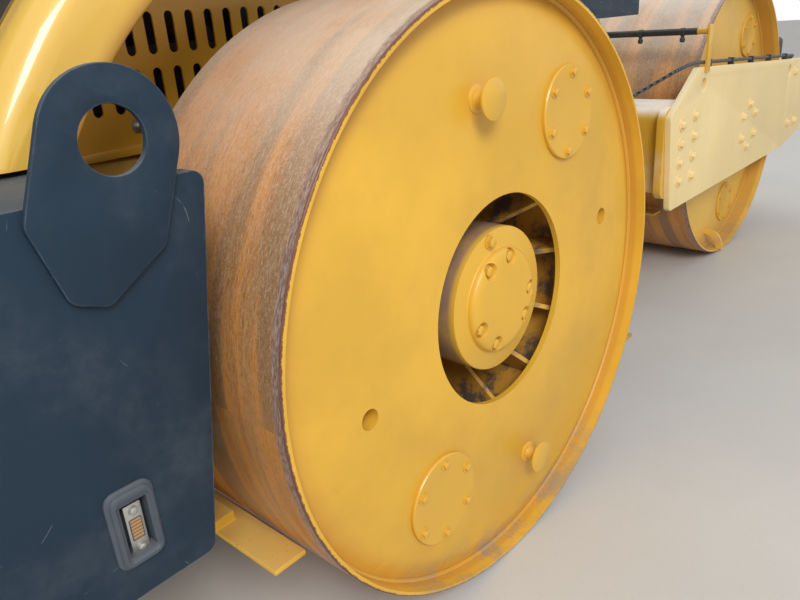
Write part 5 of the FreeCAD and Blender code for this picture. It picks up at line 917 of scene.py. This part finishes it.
def build_markers():
    """Side marker lamps: a stepped frame round a zinc bar with a ribbed lens and two studs."""
    rims, bars, lenses, studs = Form(), Form(), Form(), Form()
    steps = ((0.092, 0.163, 0.022, 1.0395), (0.092, 0.163, 0.022, 1.0440), (0.088, 0.159, 0.021, 1.0462),
             (0.080, 0.150, 0.019, 1.0470), (0.079, 0.149, 0.018, 1.0505), (0.075, 0.144, 0.017, 1.0525),
             (0.065, 0.130, 0.011, 1.0525), (0.060, 0.121, 0.007, 1.0495), (0.052, 0.110, 0.003, 1.0480),
             (0.051, 0.109, 0.003, 1.0080), (0.060, 0.120, 0.007, 1.0080), (0.060, 0.120, 0.007, 1.0395))
    middle, place = (-2.4597, 0.7020), (-2.4645, 0.7170)
    for _, way in SIDES:
        loops = []
        for step, (width, height, radius, out) in enumerate(steps):
            inward = min(1, step / 7)
            centre = (place[0] + 0.0033 * inward, place[1] - 0.0045 * inward)
            loops.append([(x, way * out, z) for x, z in rounded_outline(width, height, radius, centre)])
        rims.skin(loops, closed=True)
        rims.box((-2.486, way * 1.0075, 0.660), (-2.437, way * 1.013, 0.765))
        rims.prism(rounded_outline(0.0240, 0.0455, 0.002, middle, 3), way * 1.030, way * 1.0357)
        bars.box((-2.470, way * 1.012, 0.668), (-2.450, way * 1.032, 0.736))
        bars.prism(rounded_outline(0.033, 0.106, 0.0015, (middle[0], 0.7018), 2), way * 1.030, way * 1.035)
        lenses.prism(rounded_outline(0.0200, 0.0415, 0.002, middle, 3), way * 1.034, way * 1.0364)
        for z in (0.7415, 0.6610):
            studs.lathe(outline_to(way, (0.0092, 1.034), (0.0092, 1.0362), (0.0086, 1.0372),
                                   (0.0076, 1.0372),
                                   (0.0070, 1.0398), (0.0045, 1.0410), (0.001, 1.0413)), (-2.459, 0, z),
                        count=24)
    rims.make("marker_frames", "rear_frame", "Lamp frame", replaces=("side_marker_lamps",))
    bars.make("marker_bars", "rear_frame", "Zinc", 0.0005)
    lenses.make("marker_lenses", "rear_frame", "Amber window")
    studs.make("marker_studs", "rear_frame", "Zinc")


def build_tail_lamps():
    """Rear lamps with a rim and three lenses each."""
    rims, red, amber, clear, spots = Form(), Form(), Form(), Form(), []
    left, right, low, high, thick = 0.680, 0.920, 1.108, 1.208, 0.009
    for _, way in SIDES:
        rims.box((-2.9475, way * left, low), (-2.952, way * right, high))
        for y_a, z_a, y_b, z_b in ((left, low, right, low + thick), (left, high - thick, right, high),
                                   (left, low, left + thick, high), (right - thick, low, right, high)):
            rims.box((-2.950, way * y_a, z_a), (-2.970, way * y_b, z_b))
        for form, start, end in ((clear, 0.692, 0.748), (red, 0.751, 0.849), (amber, 0.852, 0.908)):
            form.box((-2.950, way * start, 1.120), (-2.9685, way * end, 1.196))
        spots += [((-2.9685, way * y, 1.158), (-1, 0, 0)) for y in (0.7495, 0.8505)]
    rims.make("tail_lamp_rims", "rear_frame", "Black rubber", 0.002, ("tail_lamps",))
    red.make("tail_lamp_red", "rear_frame", "Red lens", 0.003)
    amber.make("tail_lamp_amber", "rear_frame", "Amber lens", 0.003)
    clear.make("tail_lamp_clear", "rear_frame", "Lamp glass", 0.003)
    faced(stud_tree, "tail_lamp_screws", "rear_frame", spots, "Zinc", Radius=0.004, Height=0.004)


def build_hood():
    soften("engine_hood", "hood_shell", "Hood paint", 0.005, angle=36)
    soften("hood_grilles", "grille_plates", "Trim paint", 0)
    points, spans, leans = [], [], []
    top, low, rear, arch, least, pitch = 1.918, 1.395, -2.742, 1.232, 0.08, sizes().grille_pitch
    for _, way in SIDES:
        for k in range(int((top - low) / pitch) + 1):
            z = low + k * pitch
            span = REAR_AXLE - sqrt(max(arch ** 2 - (z - DRUM_RADIUS) ** 2, 0.0)) - rear
            if span >= least:
                points.append((rear + span / 2, way * 0.6655, z))
                spans.append(span)
                leans.append(-way)
    repeat(slat_tree, "grille_slats", "hood", points, {"span": spans, "side": leans}, "Trim paint",
           Depth=0.017,
           Thickness=0.003, Lean=0.75)
    handle = Form()
    handle.tube(bent([(-2.893, -0.13, 1.55), (-2.935, -0.13, 1.55), (-2.935, 0.13, 1.55),
                      (-2.893, 0.13, 1.55)],
                     0.02), 0.009)
    handle.lathe([(0.026, -2.888), (0.026, -2.898), (0.020, -2.901), (0.001, -2.901)], (0, 0, 1.44), AHEAD,
                 32)
    handle.make("hood_handle", "hood", "Trim paint")
    soften("exhaust_stack", "exhaust_pipe", "Trim paint", 0.002)
    flap, centre = Form(), (-1.82, -0.33, 0)
    flap.lathe([(0.0465, 2.105), (0.053, 2.107), (0.053, 2.127), (0.0465, 2.129)], centre, UP, 36, True)
    flap.box((-1.832, -0.395, 2.108), (-1.808, -0.378, 2.126))
    flap.lathe([(0.049, 2.3925), (0.049, 2.3960), (0.002, 2.3960)], centre, UP, 36)
    flap.box((-1.880, -0.345, 2.372), (-1.864, -0.315, 2.3965))
    flap.make("exhaust_flap", "hood", "Casting", 0.001)


def build_side_panels():
    folds, spots, face = Form(), [], 0.344
    for _, way in SIDES:
        folds.box((-2.188, way * face, 1.2405), (-1.222, way * 0.352, 1.264))
        spots += [((x, way * face, 1.312), (0, way, 0)) for x in (-2.120, -1.934, -1.60, -1.27)]
    folds.make("panel_folds", "rear_frame", "Body paint", 0.003)
    bolts("panel_bolts", "rear_frame", spots, 0.011)


def build_engine():
    form, spots, block_top, head_top = Form(), [], 1.60, 1.672
    form.box((-2.20, -0.17, 1.18), (-1.50, 0.17, 1.46))
    form.box((-2.15, -0.13, 1.09), (-1.60, 0.13, 1.19))
    form.box((-2.17, -0.15, 1.46), (-1.53, 0.15, block_top))
    for k in range(6):
        x = -2.115 + 0.107 * k
        form.box((x - 0.045, -0.105, block_top), (x + 0.045, 0.105, head_top))
        form.tube(bent([(x, -0.145, 1.53), (x, -0.195, 1.53), (x, -0.205, 1.485)], 0.02), 0.019, 10)
        form.tube(bent([(x, 0.145, 1.55), (x, 0.2, 1.55), (x, 0.205, 1.60)], 0.02), 0.016, 10)
        spots += [((x, way * 0.07, head_top), UP) for way in (-1, 1)]
    form.tube([(-2.17, -0.205, 1.475), (-1.53, -0.205, 1.475)], 0.032, 14)
    form.tube([(-2.17, 0.205, 1.612), (-1.53, 0.205, 1.612)], 0.028, 14)
    form.lathe([(0.03, -1.50), (0.062, -1.495), (0.085, -1.475), (0.085, -1.455), (0.07, -1.437),
                (0.02, -1.435)],
               (0, -0.12, 1.56), AHEAD, 32)
    form.lathe([(0.05, -2.20), (0.115, -2.205), (0.118, -2.215), (0.104, -2.222), (0.118, -2.229),
                (0.115, -2.24),
                (0.03, -2.242)], (0, 0, 1.24), AHEAD)
    form.lathe([(0.045, 1.20), (0.052, 1.205), (0.052, 1.315), (0.045, 1.325)], (-1.78, -0.205, 0), UP, 28)
    form.lathe([(0.038, 1.22), (0.045, 1.225), (0.045, 1.32), (0.038, 1.33)], (-1.66, 0.205, 0), UP, 28)
    form.make("diesel_engine", "rear_frame", "Casting", 0.004, ("engine_block",))
    bolts("rocker_bolts", "rear_frame", spots, 0.008)


def build_chassis():
    soften("rear_chassis", "chassis_frame", "Grimy paint", sizes().edge_radius)
    soften("rear_axle", "axle_housing", "Casting", 0.004)
    soften("steering_pin", "king_pin", "Machined steel", 0.002)
    soften("centre_link", "swivel_link", "Trim paint", 0.004)
    spots = []
    for _, way in SIDES:
        spots += ring((REAR_AXLE, way * 0.155, DRUM_RADIUS), 0.215, range(0, 360, 30), (0, way, 0))
    bolts("axle_bolts", "rear_frame", spots, 0.010, "Casting")
    for side, _ in SIDES:
        soften(f"steering_barrel_{side}", f"cylinder_barrel_{side}", "Trim paint", 0.002)
        soften(f"steering_rod_{side}", f"cylinder_rod_{side}", "Chrome", 0.001)


def build_scrapers():
    soften("rear_drum_scrapers", "rear_scrapers_worn", "Blade paint", 0.004, 3)
    soften("fore_drum_scrapers", "fore_drum_scrapers_worn", "Grimy paint", sizes().edge_radius)
    soften("front_scrapers", "front_scrapers_worn", "Grimy paint", sizes().edge_radius)


def build_front_frame():
    soften("side_plates", "frame_side_plates", "Plate paint with painted sunlight", 0.004, 3)
    soften("rear_beam", "frame_rear_beam", "Frame paint", 0.006, 3)
    soften("front_beam", "frame_front_beam", "Frame paint", 0.006, 3)
    soften("front_bumper", "bumper_bar", "Trim paint", 0.018, 4)
    soften("front_stub_shafts", "stub_shafts", "Casting", sizes().edge_radius)
    soften("spray_bar", "spray_pipe", "Body paint", 0.002)
    spots = []
    for _, way in SIDES:
        places = [(x, low + (high - low) * k / 3) for x, low,
                  high in ((0.638, 0.668, 0.944), (0.803, 0.667, 0.969))
                  for k in range(4)]
        places += [(2.514, 0.681), (2.670, 0.675), (2.552, 1.010)]
        spots += [((x, way * PLATE_FACE, z), (0, way, 0)) for x, z in places]
        spots += ring((1.67, way * PLATE_FACE, 0.791), 0.124, range(30, 390, 60), (0, way, 0))
    bolts("frame_bolts", "front_frame", spots, sizes().frame_bolt, "Plate paint with painted sunlight", Washer=1.6)
    spots = [((2.894, y, z), AHEAD) for y in (-0.62, -0.56, 0.56, 0.62) for z in (0.78, 0.93)]
    bolts("beam_bolts", "front_frame", spots, 0.014, "Frame paint")
    hose, nozzles, x, z = Form(), Form(), 0.9, 1.362
    hose.tube([(x, -0.735, z), (x, 0.735, z)], 0.0165, 20)
    hose.make("spray_hose", "front_frame", "Black rubber")
    for k in range(7):
        y = -0.66 + 0.22 * k
        nozzles.lathe([(0.0165, -0.012), (0.0195, -0.010), (0.0195, 0.010), (0.0165, 0.012)], (x, y, z),
                      count=24)
        nozzles.lathe([(0.009, 1.352), (0.009, 1.334), (0.013, 1.332), (0.013, 1.318), (0.008, 1.312),
                       (0.003, 1.312)], (x, y, 0), UP, 16)
    nozzles.make("spray_nozzles", "front_frame", "Cab plastic")


def build_front_drum():
    soften("front_drum", "front_drum_shell", "Front drum steel", 0)
    covers, rings, spots, turn = Form(), Form(), [], radians(-96.5)
    for _, way in SIDES:
        for (x, _, z), _ in ring(FRONT_CENTRE, 0.6, (52, 172, 292)):
            covers.lathe(outline_to(way, (0.124, 0.603), (0.1265, 0.6055), (0.127, 0.6135), (0.1245, 0.617),
                                    (0.088, 0.6165), (0.085, 0.6155), (0.002, 0.6155)), (x, 0, z), count=64)
            spots += ring((x, way * 0.6165, z), 0.105, [92 + 60 * j for j in range(6)], (0, way, 0))
        bead(rings, FRONT_CENTRE, way, 0.607, 0.007)
        bands = []
        for k in range(13):
            a, loop = pi / 2 * k / 12, []
            for width, side in ((0.020, 0.010), (-0.020, 0.010), (-0.020, -0.010), (0.020, -0.010)):
                r, y = 0.787 - (0.105 + width) * cos(a), 0.605 + (0.105 + width) * sin(a)
                loop.append((FRONT_AXLE + r * cos(turn) - side * sin(turn), way * y,
                             DRUM_RADIUS + r * sin(turn) + side * cos(turn)))
            bands.append(loop)
        rings.skin(bands)
    covers.make("front_covers", "front_drum", "Body paint", replaces=("front_drum_covers",))
    rings.make("front_weld_beads", "front_drum", "Front drum steel")
    bolts("front_cover_bolts", "front_drum", spots, sizes().cover_bolt, "Body paint", Washer=1.5)


def build_cable():
    finish("front_cable", "Corrugated sleeve")
    soften("cable_clips", "cable_clamps", "Cab plastic", 0.0008)


def build_lamps():
    cases, lenses, inner = Form(), Form(), Form()
    for _, way in SIDES:
        y, z = way * 0.52, 1.143
        cases.frames((y, z), (
            (2.757, 0.13, 0.09, 0.03), (2.762, 0.16, 0.12, 0.035), (2.775, 0.19, 0.142, 0.035),
            (2.834, 0.198, 0.148, 0.03), (2.838, 0.190, 0.140, 0.028), (2.838, 0.176, 0.126, 0.022),
            (2.829, 0.174, 0.124, 0.022), (2.800, 0.120, 0.090, 0.020), (2.790, 0.05, 0.04, 0.015)))
        lenses.frames((y, z), ((2.828, 0.1735, 0.1235, 0.022), (2.832, 0.1735, 0.1235, 0.022),
                               (2.8355, 0.160, 0.110, 0.022)))
        for out in (-0.042, 0.042):
            inner.lathe([(0.012, 2.804), (0.030, 2.822), (0.031, 2.824), (0.022, 2.812), (0.008, 2.806)],
                        (0, y + out, z), AHEAD, 28)
        cases.box((2.765, y - 0.03, 1.0685), (2.825, y + 0.03, 1.082))
    cases.make("head_lamp_cases", "front_frame", "Cab plastic", replaces=("head_lamps",))
    lenses.make("head_lamp_lenses", "front_frame", "Lamp glass")
    inner.make("head_lamp_reflectors", "front_frame", "Chrome")
    cases, lenses = Form(), Form()
    for x, face in ((0.098, 1), (-1.151, -1)):
        for _, way in SIDES:
            y, z = way * 0.57, 3.178
            for form, rows in ((cases, (
                    (-0.026, 0.06, 0.05, 0.015), (-0.022, 0.085, 0.062, 0.018), (0.0, 0.114, 0.080, 0.02),
                    (0.024, 0.118, 0.084, 0.018), (0.0265, 0.108, 0.074, 0.015),
                (0.020, 0.104, 0.070, 0.015),
                    (0.004, 0.070, 0.046, 0.012))), (lenses, (
                    (0.0195, 0.1035, 0.0695, 0.014), (0.0225, 0.1035, 0.0695, 0.014),
                        (0.025, 0.094, 0.060, 0.014)))):
                form.frames((y, z), [(x + face * d, *row) for d, *row in rows])
            cases.box((x - 0.012, y - 0.016, 3.126), (x + 0.012, y + 0.016, 3.142))
    cases.make("roof_lamp_cases", "rear_frame", "Cab plastic", replaces=("roof_lamps",))
    lenses.make("roof_lamp_lenses", "rear_frame", "Lamp glass")


def build_beacon():
    base, dome, centre = Form(), Form(), (-0.878, 0.430, 0)
    base.lathe([(0.060, 3.125), (0.062, 3.128), (0.062, 3.150), (0.058, 3.156), (0.050, 3.156)], centre, UP,
               40)
    profile = [(0.052, 3.156)]
    for k in range(9):
        z = 3.160 + 0.009 * k
        profile += [(0.0535, z), (0.0515, z + 0.0045)]
    profile += [(0.051, 3.243), (0.046, 3.254), (0.035, 3.261), (0.018, 3.2645), (0.002, 3.265)]
    dome.lathe(profile, centre, UP, 40)
    base.make("beacon_base", "rear_frame", "Cab plastic")
    dome.make("beacon_dome", "rear_frame", "Amber lens", replaces=("beacon",))


def build_cab():
    soften("cab_body", "cab_lower", "Slate paint", 0.006, 3)
    soften("cab_frame", "cab_pillars", "Slate paint", 0.006, 3)
    soften("cab_roof", "cab_top", "Body paint", 0.018, 4)
    soften("cab_support", "cab_beams", "Body paint", 0.004)
    soften("cab_mounts", "cab_cushions", "Black rubber", 0.004)
    gasket("windscreen_seal", "windscreen", "rear_frame")
    gasket("rear_pane_seal", "rear_window", "rear_frame")
    gasket("side_panes_seal", "side_windows", "rear_frame")
    for side, way in SIDES:
        body, handle, middle, near, far = f"door_{side}", Form(), 1.80, way * 0.762, way * 0.784
        gasket(f"door_pane_seal_{side}", f"door_window_{side}", body, 0.008)
        soften(f"cab_door_{side}", f"door_{side}_shell", "Slate paint", 0.004)
        handle.prism(rounded_outline(0.15, 0.07, 0.02, (-0.075, middle)), way * 0.759, way * 0.764)
        handle.tube(bent([(-0.125, near, middle), (-0.125, far, middle), (-0.035, far, middle),
                          (-0.035, near, middle)], 0.012, 5), 0.0075)
        handle.make(f"door_handle_{side}", body, "Cab plastic", 0.001)
    wiper = Form()

    def on_screen(y, z, out):
        return 0.150 - (z - 1.93) / 1.08 * 0.110 + out, y, z
    wiper.lathe([(0.028, -0.005), (0.028, 0.018), (0.020, 0.026), (0.002, 0.026)], on_screen(0.05, 1.955, 0),
                (1, 0, 0.1), 28)
    wiper.tube([on_screen(0.05, 1.96, 0.020), on_screen(0.12, 2.20, 0.026), on_screen(0.20, 2.46, 0.018)],
               0.006, 10)
    wiper.tube([on_screen(0.20, 2.16, 0.0125), on_screen(0.20, 2.76, 0.0125)], 0.0065, 8)
    wiper.make("wiper", "rear_frame", "Black rubber")
    build_cab_outside()


def build_cab_outside():
    """Mirrors, rails, tanks and steps."""
    soften("outside_mirrors", "mirror_cases", "Cab plastic", 0.006, 3)
    soften("handrails", "hand_rails", "Trim paint", 0)
    soften("side_tanks", "saddle_tanks", "Body paint", 0.006, 3)
    soften("access_steps", "step_irons", "Trim paint", sizes().edge_radius)
    panes, caps, studs = Form(), Form(), []
    for _, way in SIDES:
        panes.prism(rounded_outline(0.158, 0.268, 0.018, (way * 1.0, 2.645)), 0.0255, 0.0285, axis=0)
        caps.lathe([(0.050, 1.329), (0.050, 1.352), (0.044, 1.360), (0.010, 1.361)], (-0.37, way * 0.62, 0),
                   UP, 32)
        for tread in (0.504, 0.834, 1.164):
            studs += [((-0.52 + 0.026 * j, way * (0.762 + 0.024 * k), tread + 0.0015), UP)
                      for j in range(8) for k in range(7)]
    panes.make("mirror_panes", "rear_frame", "Mirror")
    caps.make("tank_caps", "rear_frame", "Cab plastic", 0.002)
    faced(stud_tree, "tread_studs", "rear_frame", studs, "Trim paint", Radius=0.0075, Height=0.004)


def build_controls():
    soften("steering_console", "console_shell", "Cab plastic", 0.012, 4)
    soften("steering_wheel", "wheel_and_column", "Cab plastic", 0)
    extra, dials = Form(), Form()
    for y in (-0.09, 0.09):
        extra.tube([(-0.10, y, 2.24), (-0.135, y * 1.25, 2.36)], 0.006, 10)
        extra.lathe([(0.004, 0.0), (0.014, 0.006), (0.018, 0.018), (0.014, 0.030), (0.004, 0.035)],
                    (-0.137, y * 1.25, 2.355), (-0.25, 0, 1), 20)
    for y in (-0.05, 0.05):
        dials.lathe([(0.034, 0.0), (0.036, 0.004), (0.034, 0.010), (0.030, 0.010), (0.029, 0.006),
                     (0.002, 0.006)],
                    (-0.1715, y, 2.14), (-1, 0, 0), 32)
    extra.box((-0.30, -0.13, 1.530), (-0.20, -0.06, 1.545))
    extra.prism([(-0.34, 1.55), (-0.335, 1.545), (-0.23, 1.615), (-0.235, 1.622)], 0.05, 0.13)
    extra.make("levers_and_pedals", "rear_frame", "Cab plastic", 0.002)
    dials.make("console_dials", "rear_frame", "Machined steel")


def coordinates(mesh):
    found = np.empty(len(mesh.vertices) * 3)
    mesh.vertices.foreach_get("co", found)
    return found.reshape(-1, 3)


def swollen(made, limit=0.024):
    """Swells a closed shape as stuffed cloth does, with a limit on each point's motion."""
    voxels = made.modifiers.new("Voxels", "REMESH")
    voxels.mode, voxels.voxel_size = "VOXEL", 0.006
    plain(made)
    start, scene = coordinates(made.data), bpy.context.scene
    cloth = made.modifiers.new("Cloth", "CLOTH").settings
    cloth.use_pressure, cloth.uniform_pressure_force, cloth.effector_weights.gravity = True, 4, 0
    for step in range(1, 21):
        scene.frame_set(step)
        bpy.context.view_layer.update()
    plain(made)
    scene.frame_set(1)
    move = coordinates(made.data) - start
    move *= np.minimum(1, limit / np.maximum(np.linalg.norm(move, axis=1, keepdims=True), 1e-9))
    made.data.vertices.foreach_set("co", (start + move).ravel())
    relax = made.modifiers.new("Relax", "SMOOTH")
    relax.iterations, relax.factor = 4, 0.5
    smooth(plain(made).data, 180)
    return made


def build_seat():
    base, cushion, back, arms = Form(), Form(), Form(), Form()
    base.box((-0.66, -0.16, 1.530), (-0.34, 0.16, 1.556))
    for k in range(7):
        z = 1.566 + 0.042 * k
        base.frames((-0.50, 0), [(z + h, w, w, 0.05) for h, w in (
            (0.0, 0.25), (0.014, 0.285), (0.028, 0.285), (0.042, 0.25))], axis=2)
    base.box((-0.72, -0.20, 1.868), (-0.29, 0.20, 1.905))
    base.make("seat_base", "rear_frame", "Cab plastic", 0.006, ("driver_seat",))
    cushion.skin([[(x, y, z) for x, y in rounded_outline(w, d, 0.07, (-0.487, 0), 8)] for z, w, d in (
        (1.908, 0.40, 0.42), (1.925, 0.43, 0.45), (1.985, 0.43, 0.45), (2.010, 0.39, 0.41))])
    swollen(cushion.make("seat_cushion", "rear_frame", "Seat cloth"))
    back.skin([[(-0.705 + lean + u * t, v, z) for u, v in rounded_outline(1.0, w, 0.2, steps=6)]
               for z, w, t, lean in (
                   (2.050, 0.36, 0.055, 0.012), (2.085, 0.42, 0.075, 0.010), (2.25, 0.43, 0.080, 0.004),
                   (2.42, 0.40, 0.072, -0.004), (2.53, 0.32, 0.060, -0.010), (2.575, 0.22, 0.040, -0.012))])
    swollen(back.make("seat_back", "rear_frame", "Seat cloth"))
    for _, way in SIDES:
        y = way * 0.245
        arms.tube(bent([(-0.70, y, 2.02), (-0.72, y, 2.20), (-0.46, y, 2.21)], 0.04), 0.015)
    arms.make("seat_arms", "rear_frame", "Cab plastic")


# Stage

def build_stage():
    t, colour, reach = start_material("Floor"), tuple(paint().floor), 40
    base = t.mix(t.ramp(t.noise(t.place, 1.3, 6, 0.6), 0.3, 0.75), tinted(colour, 0.94), colour)
    t.dress(Base_Color=t.layer(base, t.ramp(t.noise(t.place, 90.0, 3), 0.45, 0.7), 0.10, (0.45, 0.44, 0.42)),
            Roughness=0.8)
    mesh = bpy.data.meshes.new("floor")
    mesh.from_pydata([(-reach, -reach, 0), (reach, -reach, 0), (reach, reach, 0), (-reach, reach, 0)], [],
                     [(0, 1, 2, 3)])
    mesh.materials.append(MATERIALS["Floor"])
    placed("floor", mesh)
    scene = bpy.context.scene
    scene.view_settings.view_transform = "Standard"
    world = scene.world = bpy.data.worlds.new("Soft studio")
    world.use_nodes = True
    w, back = Tree(world.node_tree), world.node_tree.nodes["Background"].inputs
    path = w.add("ShaderNodeLightPath").outputs
    seen = w.math("MAXIMUM", path["Is Glossy Ray"], path["Is Transmission Ray"])
    back["Color"].default_value = (1, 1, 1, 1)
    w.put(back["Strength"], w.plus(0.62, w.times(w.math("MAXIMUM", path["Is Camera Ray"], seen), 0.38)))
    for name, place, aim, energy, size in (("Key", (-5.5, -6.5, 6.5), (-0.8, -0.4, 0.9), 520, 3.2),
                                           ("Fill", (5.0, 6.0, 5.0), (0.0, 0.0, 1.0), 260, 5.0)):
        lamp = bpy.data.lights.new(name, "AREA")
        lamp.energy, lamp.size = energy, size
        made = placed(name, lamp)
        made.location = place
        made.rotation_euler = (Vector(aim) - Vector(place)).to_track_quat("-Z", "Y").to_euler()
    scene.camera = photo_camera()


def photo_camera():
    """The camera at the photograph's place and angle."""
    yaw, pitch, roll = map(radians, (46.769, 21.750, -4.314))
    ahead = Vector((sin(yaw) * cos(pitch), cos(yaw) * cos(pitch), -sin(pitch)))
    across = Vector((cos(yaw), -sin(yaw), 0))
    above = across.cross(ahead)
    right, up = across * cos(roll) + above * sin(roll), above * cos(roll) - across * sin(roll)
    lens = bpy.data.cameras.new("Camera")
    lens.lens, lens.sensor_width, lens.clip_end = 31.72, 36, 200
    camera = placed("Camera", lens)
    pose = Matrix((right, up, -ahead)).transposed().to_4x4()
    pose.translation = Vector((-2.8763, -2.1224, 1.5259))
    camera.matrix_world = pose
    return camera


# Operators and panel

class ROLLER_OT_materials(bpy.types.Operator):
    """Make the finishes and give each CAD piece its own."""
    bl_idname = "roller.materials"
    bl_label = "Materials"

    def execute(self, context):
        build_materials()
        return {"FINISHED"}


class ROLLER_OT_stage(bpy.types.Operator):
    """Set up the floor, light and camera."""
    bl_idname = "roller.stage"
    bl_label = "Stage"

    def execute(self, context):
        build_stage()
        return {"FINISHED"}


class ROLLER_OT_rear_drums(bpy.types.Operator):
    """Build the rear drums' shells and welds."""
    bl_idname = "roller.rear_drums"
    bl_label = "Rear Drums"

    def execute(self, context):
        build_rear_drums()
        return {"FINISHED"}


class ROLLER_OT_hubs(bpy.types.Operator):
    """Build the planetary hubs."""
    bl_idname = "roller.hubs"
    bl_label = "Hubs"

    def execute(self, context):
        build_hubs()
        return {"FINISHED"}


class ROLLER_OT_fittings(bpy.types.Operator):
    """Build the drums' covers, filler plugs and bolts."""
    bl_idname = "roller.fittings"
    bl_label = "Drum Fittings"

    def execute(self, context):
        build_drum_fittings()
        return {"FINISHED"}


class ROLLER_OT_tail(bpy.types.Operator):
    """Build the ballast box, lugs, markers and rear lamps."""
    bl_idname = "roller.tail"
    bl_label = "Tail"

    def execute(self, context):
        build_tail()
        return {"FINISHED"}


class ROLLER_OT_hood(bpy.types.Operator):
    """Build the hood, grilles and exhaust."""
    bl_idname = "roller.hood"
    bl_label = "Hood"

    def execute(self, context):
        build_hood()
        return {"FINISHED"}


class ROLLER_OT_side_panels(bpy.types.Operator):
    """Build the slotted panels' folds and bolts."""
    bl_idname = "roller.side_panels"
    bl_label = "Side Panels"

    def execute(self, context):
        build_side_panels()
        return {"FINISHED"}


class ROLLER_OT_engine(bpy.types.Operator):
    """Build the engine."""
    bl_idname = "roller.engine"
    bl_label = "Engine"

    def execute(self, context):
        build_engine()
        return {"FINISHED"}


class ROLLER_OT_chassis(bpy.types.Operator):
    """Build the chassis, axle, link and cylinders."""
    bl_idname = "roller.chassis"
    bl_label = "Chassis"

    def execute(self, context):
        build_chassis()
        return {"FINISHED"}


class ROLLER_OT_scrapers(bpy.types.Operator):
    """Build the scrapers."""
    bl_idname = "roller.scrapers"
    bl_label = "Scrapers"

    def execute(self, context):
        build_scrapers()
        return {"FINISHED"}


class ROLLER_OT_front_frame(bpy.types.Operator):
    """Build the front frame and spray bar."""
    bl_idname = "roller.front_frame"
    bl_label = "Front Frame"

    def execute(self, context):
        build_front_frame()
        return {"FINISHED"}


class ROLLER_OT_front_drum(bpy.types.Operator):
    """Build the front drum."""
    bl_idname = "roller.front_drum"
    bl_label = "Front Drum"

    def execute(self, context):
        build_front_drum()
        return {"FINISHED"}


class ROLLER_OT_cable(bpy.types.Operator):
    """Finish the lamp cable and its clamps."""
    bl_idname = "roller.cable"
    bl_label = "Lamp Cable"

    def execute(self, context):
        build_cable()
        return {"FINISHED"}


class ROLLER_OT_lamps(bpy.types.Operator):
    """Build the head and roof lamps."""
    bl_idname = "roller.lamps"
    bl_label = "Lamps"

    def execute(self, context):
        build_lamps()
        return {"FINISHED"}


class ROLLER_OT_beacon(bpy.types.Operator):
    """Build the beacon."""
    bl_idname = "roller.beacon"
    bl_label = "Beacon"

    def execute(self, context):
        build_beacon()
        return {"FINISHED"}


class ROLLER_OT_cab(bpy.types.Operator):
    """Build the cab, doors, mirrors, rails, tanks and steps."""
    bl_idname = "roller.cab"
    bl_label = "Cab"

    def execute(self, context):
        build_cab()
        return {"FINISHED"}


class ROLLER_OT_controls(bpy.types.Operator):
    """Build the console and its levers."""
    bl_idname = "roller.controls"
    bl_label = "Controls"

    def execute(self, context):
        build_controls()
        return {"FINISHED"}


class ROLLER_OT_seat(bpy.types.Operator):
    """Build the driver's seat."""
    bl_idname = "roller.seat"
    bl_label = "Seat"

    def execute(self, context):
        build_seat()
        return {"FINISHED"}


OPERATORS = (
    ROLLER_OT_materials, ROLLER_OT_stage, ROLLER_OT_rear_drums, ROLLER_OT_hubs, ROLLER_OT_fittings,
    ROLLER_OT_tail, ROLLER_OT_hood, ROLLER_OT_side_panels, ROLLER_OT_engine, ROLLER_OT_chassis,
    ROLLER_OT_scrapers, ROLLER_OT_front_frame, ROLLER_OT_front_drum, ROLLER_OT_cable,
    ROLLER_OT_lamps, ROLLER_OT_beacon, ROLLER_OT_cab, ROLLER_OT_controls, ROLLER_OT_seat)


class ROLLER_PT_build(bpy.types.Panel):
    """Lists the roller's sizes, paints and builders."""
    bl_label = "Three-Drum Roller"
    bl_space_type = "VIEW_3D"
    bl_region_type = "UI"
    bl_category = "Roller"

    def draw(self, context):
        for owner in (context.scene.roller_paint, context.scene.roller_sizes):
            for name in owner.__annotations__:
                self.layout.prop(owner, name)
        for step in OPERATORS:
            self.layout.operator(step.bl_idname, text=step.bl_label)


CLASSES = [RollerPaint, RollerSizes, *OPERATORS, ROLLER_PT_build]


def register():
    for made in CLASSES:
        bpy.utils.register_class(made)
    bpy.types.Scene.roller_paint = bpy.props.PointerProperty(type=RollerPaint)
    bpy.types.Scene.roller_sizes = bpy.props.PointerProperty(type=RollerSizes)


def unregister():
    del bpy.types.Scene.roller_paint
    del bpy.types.Scene.roller_sizes
    for made in reversed(CLASSES):
        bpy.utils.unregister_class(made)


def build_roller():
    register()
    for step in OPERATORS:
        getattr(bpy.ops.roller, step.bl_idname.split(".")[1])()


if __name__ == "__main__":
    build_roller()
